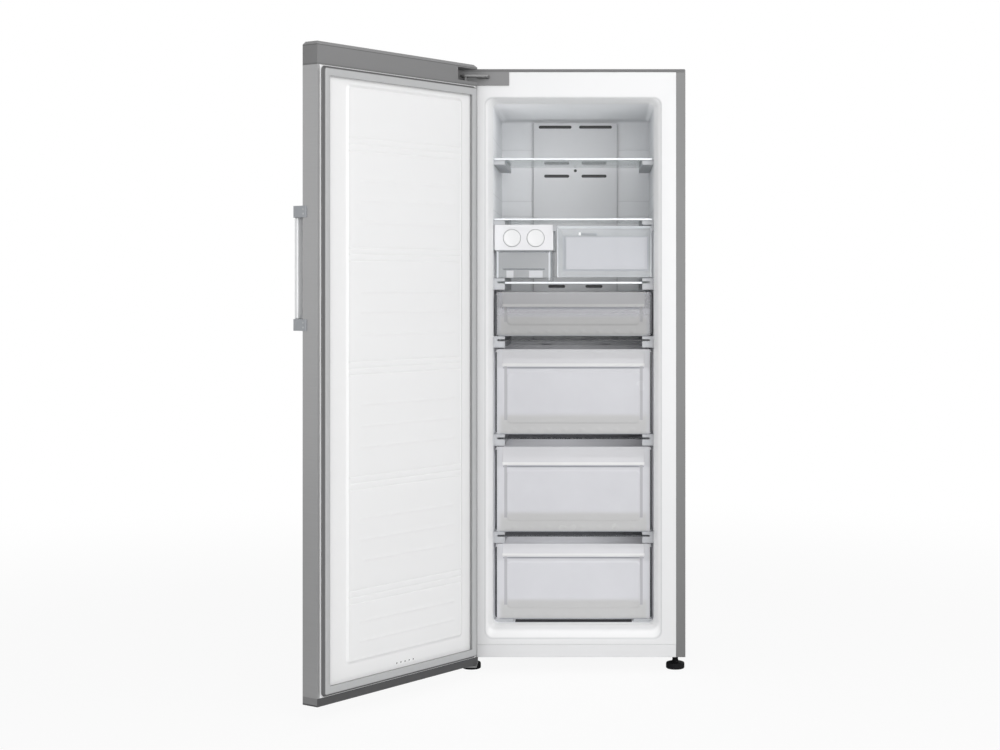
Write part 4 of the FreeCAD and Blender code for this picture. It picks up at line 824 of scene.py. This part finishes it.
def panelPlastic(name, colour, rough, spec):
    # gloss styrene with a faint pull of the vacuum forming, and painted shade in the drain holes
    finish = Finish(name)
    slow = finish.noise(3.0, 3.0)
    pull = finish.noise(14.0, 2.0, (1.0, 1.0, 0.35))
    first, last = spec["holePlaces"][0], spec["holePlaces"][-1]
    start, end = onDoor((first, 0.0, 0.0)), onDoor((last, 0.0, 0.0))
    along = (end - start) / np.linalg.norm(end - start)
    pitch = np.linalg.norm(end - start) / (len(spec["holePlaces"]) - 1)
    count = finish.axis("X") * (along[0] / pitch) + finish.axis("Y") * (along[1] / pitch)
    count = count - float(np.dot(start, along)) / pitch
    nearest = finish.math("MINIMUM", finish.math("MAXIMUM", finish.math("ROUND", count), 0.0), 4.0)
    across = (count - nearest) * pitch
    up = finish.axis("Z") - spec["holeHeight"] * mm
    reach = finish.math("SQRT", across * across + up * up)
    # painted shade: near black in the drain holes
    hole = reach.smooth(spec["holeRadius"] * mm * 0.75, spec["holeRadius"] * mm * 1.1, 1.0, 0.0)
    body = finish.drift(slow, colour, 0.01)
    return finish.surface({
        "Base Color": finish.mix(hole, body, (0.03, 0.03, 0.03, 1.0)),
        "Roughness": finish.gloss(slow, rough, 0.04),
        "Normal": finish.bump(pull, 0.02, 0.001),
    })


doorPanelFinish = panelPlastic("doorPanelMoulding", (0.9, 0.9, 0.902), 0.42, doorPanel)
buildDoorPanel(doorPanel)
print("door panel built")


# door: seal
doorSeal = {
    "width": 22.0, "endWidth": 24.0, "radius": 10.0,
    # share of the width, share of the depth, depth of shade: base, bellows, face and inner lip
    "profile": (
        (0.1, 0.0, 1), (0.06, 0.12, 1), (0.0, 0.3, 1), (0.1, 0.42, 1), (0.13, 0.56, 1),
        (0.15, 0.72, 1), (0.2, 0.84, 1), (0.24, 0.9, 0.5), (0.27, 0.97, 0), (0.36, 1.0, 0),
        (0.52, 0.985, 0), (0.72, 1.0, 0), (0.92, 0.98, 0), (0.97, 0.93, 0.1), (1.0, 0.82, 0.45),
        (0.97, 0.66, 0.6), (0.94, 0.5, 0.6), (0.96, 0.34, 0.6), (0.94, 0.14, 0.6), (0.84, 0.0, 0.6)),
}


def buildDoorSeal(spec):
    # rounded rectangles, one for each point of the bellows profile, joined to a closed tube
    low, high = shutDoorBox("door_gasket")
    rings = []
    for across, deep, dark in spec["profile"]:
        side = across * spec["width"]
        end = across * spec["endWidth"]
        rings.append(roundedRing(
            high[0] - side, low[2] + end, high[2] - end, max(spec["radius"] - side, 3.0),
            low[1] + deep * (high[1] - low[1]), 8, 10))
    points = np.stack(rings)
    faces = gridFaces(len(rings), points.shape[1], True, True)
    piece = makePiece(
        "door_bellows_seal", onDoor(points), faces, sealFinish, "door",
        ("door_gasket",), smoothAngle=60)
    shadeOfPoint = np.repeat([row[2] for row in spec["profile"]], points.shape[1]).astype(np.float32)
    piece.data.attributes.new("foldShade", "FLOAT", "POINT").data.foreach_set("value", shadeOfPoint)
    return outward(piece)


def sealRubber(name, colour, foldShadeColour, rough):
    # soft rubber, dusty, with painted shade down in its folds and on its flanks
    finish = Finish(name)
    bloom = finish.noise(60.0, 4.0)
    # painted shade in the folds and on the flanks, by the profile's attribute
    fold = finish.node("ShaderNodeAttribute", {"attribute_name": "foldShade"}, {}, "Fac")
    face = finish.drift(bloom, colour, 0.05)
    return finish.surface({
        "Base Color": finish.mix(fold, face, foldShadeColour),
        "Roughness": bloom * 0.15 + (rough - 0.08),
        "Normal": finish.bump(finish.noise(1200.0, 2.0), 0.05, 0.0002),
    })


sealFinish = sealRubber("sealRubber", (0.5, 0.505, 0.51), (0.12, 0.12, 0.122, 1.0), 0.6)


buildDoorSeal(doorSeal)
print("door seal built")


# tub: front frame and mouth
tubMouth = {
    "finish": linerMoulding("mouthMoulding", (0.86, 0.862, 0.866), 0.3, (1.433,), True),
    "plateShade": 0.2, "edgeShade": (0.2, 0.3, 0.5, 0.5, 0.3, 0.1),
    "plateThickness": 2.0, "wall": 2.5, "plateRadius": 0.8, "reach": 3.0, "cut": 35.0,
    # the cold space's floor over the frame's foot, and its ceiling over the duct
    "floorRise": 48.0, "roofRise": 12.0,
    # growth over the cold space at the sides, bottom and top, corner radius, depth
    "stations": ((18.5, 34.0, 11.0, 22.0, 0.0), (10.5, 10.0, 8.0, 20.0, 8.0),
                 (0.0, 0.0, 0.0, 14.0, 30.0), (0.0, 0.0, 0.0, 14.0, 35.0)),
}


def easeStations(stations, reach):
    # every inner station becomes a short quadratic curve that starts and ends that far from it
    eased = [stations[0]]
    for before, here, after in zip(stations, stations[1:], stations[2:]):
        ends = []
        for other in (before, after):
            length = np.hypot(other[0] - here[0], other[4] - here[4])
            ends.append(here + (other - here) * min(0.45, reach / length))
        for share in np.linspace(0, 1, 6):
            rest = 1 - share
            eased.append(rest ** 2 * ends[0] + 2 * share * rest * here + share ** 2 * ends[1])
    return eased + [stations[-1]]


def buildTubMouth(spec):
    # rounded rectangles along a path: the flat frame, the two flares of the mouth, and back outside
    plateLow, plateHigh = cabinetBox("inner_liner")
    side = cabinetBox("evaporator_cover")[1][0]
    foot = plateLow[2] + spec["floorRise"]
    roof = cabinetBox("duct_cover")[1][2] + spec["roofRise"]
    inner = [np.array([side + wider, foot - lower, roof + higher, radius, depth])
             for wider, lower, higher, radius, depth in spec["stations"]]
    plate = np.array([plateHigh[0], plateLow[2], plateHigh[2], spec["plateRadius"], 0.0])
    front = easeStations([plate] + inner, spec["reach"])
    wall = np.array([spec["wall"], -spec["wall"], spec["wall"], spec["wall"], 0.0])
    outer = [station + wall for station in inner[::-1]]
    outer[-1][4] = spec["plateThickness"]
    behind = plate.copy()
    behind[4] = spec["plateThickness"]
    rings = np.stack([roundedRing(*station, 10, 8) for station in front + outer + [behind]])
    faces = gridFaces(len(rings), rings.shape[1], True, True)
    piece = makePiece(
        "inner_liner_mouth", inCabinet(rings), faces, spec["finish"], "cabinet",
        smoothAngle=40)
    # painted shade and light: the plate greyed to the front's tone, a shade line at the turn, lighter
    # flares
    shades = np.zeros(len(rings))
    shades[0], shades[1:7] = spec["plateShade"], spec["edgeShade"]
    shades[len(front):] = spec["plateShade"]
    shades = np.repeat(shades, rings.shape[1]).astype(np.float32)
    piece.data.attributes.new("mouthShade", "FLOAT", "POINT").data.foreach_set("value", shades)
    return outward(piece)


def cutTub(piece, depth):
    # keeps the part of the tub behind that depth and closes the cut rim
    work = bmesh.new()
    work.from_mesh(piece.data)
    level = shellLow.y + depth * mm
    bmesh.ops.bisect_plane(
        work, geom=work.verts[:] + work.edges[:] + work.faces[:], dist=easing["mergeWithin"],
        plane_co=(0, level, 0), plane_no=(0, 1, 0), clear_inner=True)
    rim = [edge for edge in work.edges if edge.is_boundary]
    bmesh.ops.triangle_fill(work, edges=rim, use_beauty=True, normal=(0, -1, 0))
    bmesh.ops.recalc_face_normals(work, faces=work.faces)
    work.to_mesh(piece.data)
    work.free()
    piece.data.set_sharp_from_angle(angle=math.radians(35))


buildTubMouth(tubMouth)
print("tub mouth built")


# drawers: moulded fronts
drawerFronts = {
    "lipReach": 9.0, "margin": 6.0, "skin": 0.5, "sink": 0.05,
    "fieldSide": 24.0, "fieldTop": 9.0, "fieldBottom": 22.0, "fieldRadius": 14.0, "rise": 1.0,
    "ease": 5.0,
    "bossCount": 8, "bossPitch": 46.0, "bossHeight": 12.0, "bossRadius": 7.0, "bossRise": 0.8,
}


def buildDrawerFront(node, lipDrop, spec):
    # a thin sheet with a plateau that has round corners, and a row of low domes along its foot
    low, high = cabinetBox(node)
    face = low[1] + spec["lipReach"]
    left, right = low[0] + spec["margin"], high[0] - spec["margin"]
    bottom = low[2] + spec["margin"]
    top = high[2] - lipDrop - spec["margin"] / 2
    fieldLow, fieldHigh = bottom + spec["fieldBottom"], top - spec["fieldTop"]
    fieldHalf = (right - left) / 2 - spec["fieldSide"]
    xs = np.unique(np.round(np.concatenate([
        np.linspace(left, right, 90),
        fieldHalf - np.linspace(-1, 14, 11), -fieldHalf + np.linspace(-1, 14, 11),
    ]), 2))
    zs = np.unique(np.round(np.concatenate([
        np.linspace(bottom, top, 24),
        fieldLow + np.linspace(-1, 14, 11), fieldHigh - np.linspace(-1, 14, 11),
        low[2] + spec["bossHeight"] + np.linspace(-6, 8, 9),
    ]), 2))
    zs = zs[(zs >= bottom) & (zs <= top)]
    z, x = np.meshgrid(zs, xs, indexing="ij")
    dx = np.abs(x) - (fieldHalf - spec["fieldRadius"])
    dz = np.abs(z - (fieldLow + fieldHigh) / 2) - ((fieldHigh - fieldLow) / 2 - spec["fieldRadius"])
    outside = np.hypot(np.maximum(dx, 0), np.maximum(dz, 0)) + np.minimum(np.maximum(dx, dz), 0)
    height = spec["skin"] + spec["rise"] * smoothStep((spec["fieldRadius"] - outside) / spec["ease"])
    for index in range(spec["bossCount"]):
        place = (index - (spec["bossCount"] - 1) / 2) * spec["bossPitch"]
        reach = np.hypot(x - place, z - low[2] - spec["bossHeight"]) / spec["bossRadius"]
        height = height + spec["bossRise"] * np.exp(-reach * reach * 2)
    front = np.stack([x, face - height, z], axis=-1)
    cornerZ, cornerX = np.meshgrid([zs[0], zs[-1]], [xs[0], xs[-1]], indexing="ij")
    back = np.stack([cornerX, np.full_like(cornerX, face - spec["sink"]), cornerZ], axis=-1)
    points, faces = closedSheet(front, back)
    piece = makePiece(
        node + "_moulded_front", inCabinet(points), faces, extraFinishes[node],
        nodes[node]["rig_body"], smoothAngle=60)
    piece.visible_shadow = False
    return outward(piece)


for row in drawerTones:
    buildDrawerFront(row[0], row[5], drawerFronts)
print("drawer fronts built")


# ice maker knobs
iceKnob = {
    "shaftRadius": 5.0, "thickness": 5.0, "steps": 96,
    # radius, and depth behind the front face
    "face": ((1.5, 1.0), (6.0, 0.95), (12.0, 0.75), (17.0, 0.35), (19.5, 0.08), (21.0, 0.0),
             (22.1, 0.2), (22.8, 0.8), (23.0, 1.7), (23.0, 5.0)),
}


def buildKnob(node, spec):
    # a dished disc and its shaft, turned about the shaft
    low, high = cabinetBox(node)
    profile = [(radius, low[1] + depth) for radius, depth in spec["face"]]
    profile += [(spec["shaftRadius"], low[1] + spec["thickness"]), (spec["shaftRadius"], high[1])]
    centre = ((low[0] + high[0]) / 2, 0, (low[2] + high[2]) / 2)
    points, faces = closedLathe(profile, spec["steps"], centre, "y")
    return remake(node, "_turned", points, faces, 40)


for node in ("ice_knob_left", "ice_knob_right"):
    buildKnob(node, iceKnob)


# feet
frontFoot = {
    "flutes": 30, "fluteDepth": 0.9, "steps": 240, "threadTop": 66.0, "threadPitch": 2.0,
    "threadDepth": 0.55, "stemRadius": 8.0,
    # radius, height, share of the flute
    "disc": ((2.0, 0.0, 0), (22.0, 0.0, 0), (23.8, 0.8, 0.3), (24.8, 2.4, 1), (25.0, 5.0, 1),
             (25.0, 12.0, 1), (24.6, 15.0, 1), (23.2, 16.8, 0.4), (20.0, 17.8, 0), (12.0, 18.4, 0),
             (10.2, 19.4, 0), (9.2, 21.2, 0), (8.6, 22.7, 0)),
}


def buildFoot(node, spec):
    # a turned disc with a fluted rim, and a stem with rings for its thread
    low, high = cabinetBox(node)
    profile = list(spec["disc"])
    height = spec["disc"][-1][1] + spec["threadPitch"]
    while height + spec["threadPitch"] < spec["threadTop"]:
        profile.append((spec["stemRadius"] - spec["threadDepth"], height - spec["threadPitch"] / 2, 0))
        profile.append((spec["stemRadius"], height, 0))
        height += spec["threadPitch"]
    profile.append((spec["stemRadius"] - 1.0, spec["threadTop"], 0))
    radius, level, flute = np.array(profile, float).T[:, :, None]
    angle = np.linspace(0, 2 * np.pi, spec["steps"], endpoint=False)
    wave = 0.5 - 0.5 * np.cos(angle * spec["flutes"])
    reach = radius - spec["fluteDepth"] * flute * wave
    centre = np.array([(low[0] + high[0]) / 2, (low[1] + high[1]) / 2, 0])
    points = np.stack([
        reach * np.cos(angle), reach * np.sin(angle), np.broadcast_to(level, reach.shape)], axis=-1)
    faces = closedFaces(len(profile), spec["steps"])
    return remake(node, "_fluted", points + centre, faces, 45)


for node in ("front_foot_left", "front_foot_right"):
    buildFoot(node, frontFoot)


# rear rollers
rearRoller = {
    "steps": 96,
    # share of the radius, share of the half width
    "profile": ((0.2, -1.0), (0.34, -1.0), (0.36, -0.72), (0.78, -0.66), (0.82, -0.94), (0.93, -0.9),
                (1.0, -0.6), (1.0, -0.1), (0.97, 0.0), (1.0, 0.1), (1.0, 0.6), (0.93, 0.9),
                (0.82, 0.94), (0.78, 0.66), (0.36, 0.72), (0.34, 1.0), (0.2, 1.0)),
}


def buildRoller(node, spec):
    # a tyre, a thin web and a hub, turned about the axle
    low, high = cabinetBox(node)
    radius, half = (high[2] - low[2]) / 2, (high[0] - low[0]) / 2
    profile = [(r * radius, w * half) for r, w in spec["profile"]]
    points, faces = closedLathe(profile, spec["steps"], (low + high) / 2, "x")
    return remake(node, "_wheel", points, faces, 40)


for node in ("rear_roller_left", "rear_roller_right"):
    buildRoller(node, rearRoller)
print("knobs, feet and rollers built")


# pieces whose edges are only rounded
easedWidths = {
    "outer_shell": 0.3, "back_panel": 0.3, "top_front_trim": 0.5, "lower_front_panel": 1.0,
    "inner_liner": 0.0, "top_hinge": 0.6, "hinge_cover": 0.9, "bottom_hinge": 0.5,
    "shelf_supports": 1.6, "shelf_trim_1": 1.0, "shelf_trim_2": 1.0, "shelf_trim_3": 1.0,
    "glass_shelf_1": 0.5, "glass_shelf_2": 0.5, "glass_shelf_3": 0.5, "glass_shelf_4": 0.5,
    "glass_shelf_5": 0.5, "glass_shelf_6": 0.5, "ice_maker_housing": 1.0, "flap_brackets": 1.2,
    "duct_cover": 0.5, "evaporator_cover": 0.5, "machine_cover": 0.4, "base_frame": 0.4,
    "roller_brackets": 0.3, "door_skin": 0.0, "door_top_cap": 0.7, "door_bottom_cap": 0.5,
    "door_bushes": 0.4, "handle_bar": 1.8, "handle_brackets": 0.6, "handle_screws": 0.0,
    "hinge_screws": 0.4, "drawer_1": 0.9, "drawer_2": 0.9, "drawer_3": 0.9, "drawer_4": 0.9,
    "ice_bucket": 0.8, "flap_panel": 0.8, "ice_tray_left": 0.4, "ice_tray_right": 0.4,
    "compressor": 0.8, "compressor_mounts": 0.8, "drip_tray": 0.6, "fan_motor": 0.6,
    "fan_blade": 0.3, "power_inlet": 0.5,
}
clearSlots = ("clear_plastic", "shelf_glass")
for node, width in easedWidths.items():
    piece = easedCopy(node, width)
    piece.visible_shadow = slotOf[node] not in clearSlots or node == "drawer_1"
    if node == "inner_liner":
        cutTub(piece, tubMouth["cut"])
print("eased pieces:", len(easedWidths))

for node, packed in nodes.items():
    if len(packed.data.materials):
        packed.data.materials[0] = finishes[slotOf[node]]
    else:
        packed.data.materials.append(finishes[slotOf[node]])


# studio
studio = {
    "ambient": 0.33, "floorSize": 400.0, "floorTone": 0.9, "floorGlow": 0.92, "floorMirror": 0.2,
    "keyEnergy": 21.0, "keyPlace": (2.2, -1.9, 3.0), "keySize": 2.2,
    "fillEnergy": 104.0, "fillPlace": (1.9, -5.2, 1.7), "fillSize": 3.0,
    "counterEnergy": 54.0, "counterPlace": (-0.9, -5.4, 1.4), "counterSize": 3.0,
    "aim": (0.1, 0.2, 0.85),
    # metres from the middle over which the floor turns to the backdrop's white
    "seenFade": (1.2, 4.0), "mirrorFade": (2.0, 12.0),
}


def buildWorld(spec):
    # white where the camera sees it, also in metal and through glass, and dimmer as a light
    world = bpy.data.worlds.new("studioWorld")
    bpy.context.scene.world = world
    sky = Finish("studioWorld", world)
    direct = sky.math("MAXIMUM", sky.ray("Is Camera Ray"), sky.ray("Is Glossy Ray"))
    seen = sky.math("MAXIMUM", direct, sky.ray("Is Transmission Ray"))
    white = (1, 1, 1, 1)
    lit = sky.node("ShaderNodeBackground", {}, {"Color": white, "Strength": spec["ambient"]})
    plain = sky.node("ShaderNodeBackground", {}, {"Color": white, "Strength": 1.0})
    both = sky.node("ShaderNodeMixShader", {}, {0: seen, 1: lit, 2: plain})
    sky.node("ShaderNodeOutputWorld", {}, {"Surface": both})


def buildStudio(spec):
    # a pale floor that keeps the shadow near the object, and three soft lamps
    finish = Finish("studioFloor")
    seen = finish.ray("Is Camera Ray") + finish.ray("Is Transmission Ray")
    away = finish.node("ShaderNodeVectorMath", {"operation": "LENGTH"}, {0: finish.place()}, "Value")
    share = seen * away.smooth(*spec["seenFade"], spec["floorGlow"], 1.0)
    mirrored = away.smooth(*spec["mirrorFade"], spec["floorMirror"], 1.0)
    share = share + finish.ray("Is Glossy Ray") * mirrored
    tone = spec["floorTone"]
    matt = finish.node("ShaderNodeBsdfDiffuse", {}, {"Color": (tone, tone, tone, 1)})
    glow = finish.node("ShaderNodeEmission", {}, {"Strength": 1.0})
    mixed = finish.node("ShaderNodeMixShader", {}, {0: share, 1: matt, 2: glow})
    finish.node("ShaderNodeOutputMaterial", {}, {"Surface": mixed})
    half = spec["floorSize"] / 2
    mesh = bpy.data.meshes.new("studio_floor")
    corners = [(-half, -half, 0), (half, -half, 0), (half, half, 0), (-half, half, 0)]
    mesh.from_pydata(corners, [], [(0, 1, 2, 3)])
    mesh.materials.append(finish.material)
    floor = bpy.data.objects.new("studio_floor", mesh)
    bpy.context.scene.collection.objects.link(floor)
    for name in ("key", "fill", "counter"):
        light = bpy.data.lights.new(name + "_lamp", "AREA")
        light.energy = spec[name + "Energy"]
        light.size = spec[name + "Size"]
        lamp = bpy.data.objects.new(name + "_lamp", light)
        lamp.location = spec[name + "Place"]
        aim = Vector(spec["aim"]) - lamp.location
        lamp.rotation_euler = aim.to_track_quat("-Z", "Y").to_euler()
        bpy.context.scene.collection.objects.link(lamp)


buildWorld(studio)
buildStudio(studio)

camera = {
    "place": (0.2454, -4.8597, 1.035), "lens": 65.05, "shift": (-0.096, -0.090), "sensor": 36.0,
    "reach": 200.0,
}
lens = bpy.data.cameras.new("camera")
lens.sensor_width = camera["sensor"]
lens.lens = camera["lens"]
lens.shift_x, lens.shift_y = camera["shift"]
lens.clip_end = camera["reach"]
view = bpy.data.objects.new("camera", lens)
view.location = camera["place"]
view.rotation_euler = (math.radians(90), 0, 0)
bpy.context.scene.collection.objects.link(view)
bpy.context.scene.camera = view
bpy.context.scene.view_settings.view_transform = "Standard"
print("studio and camera set")
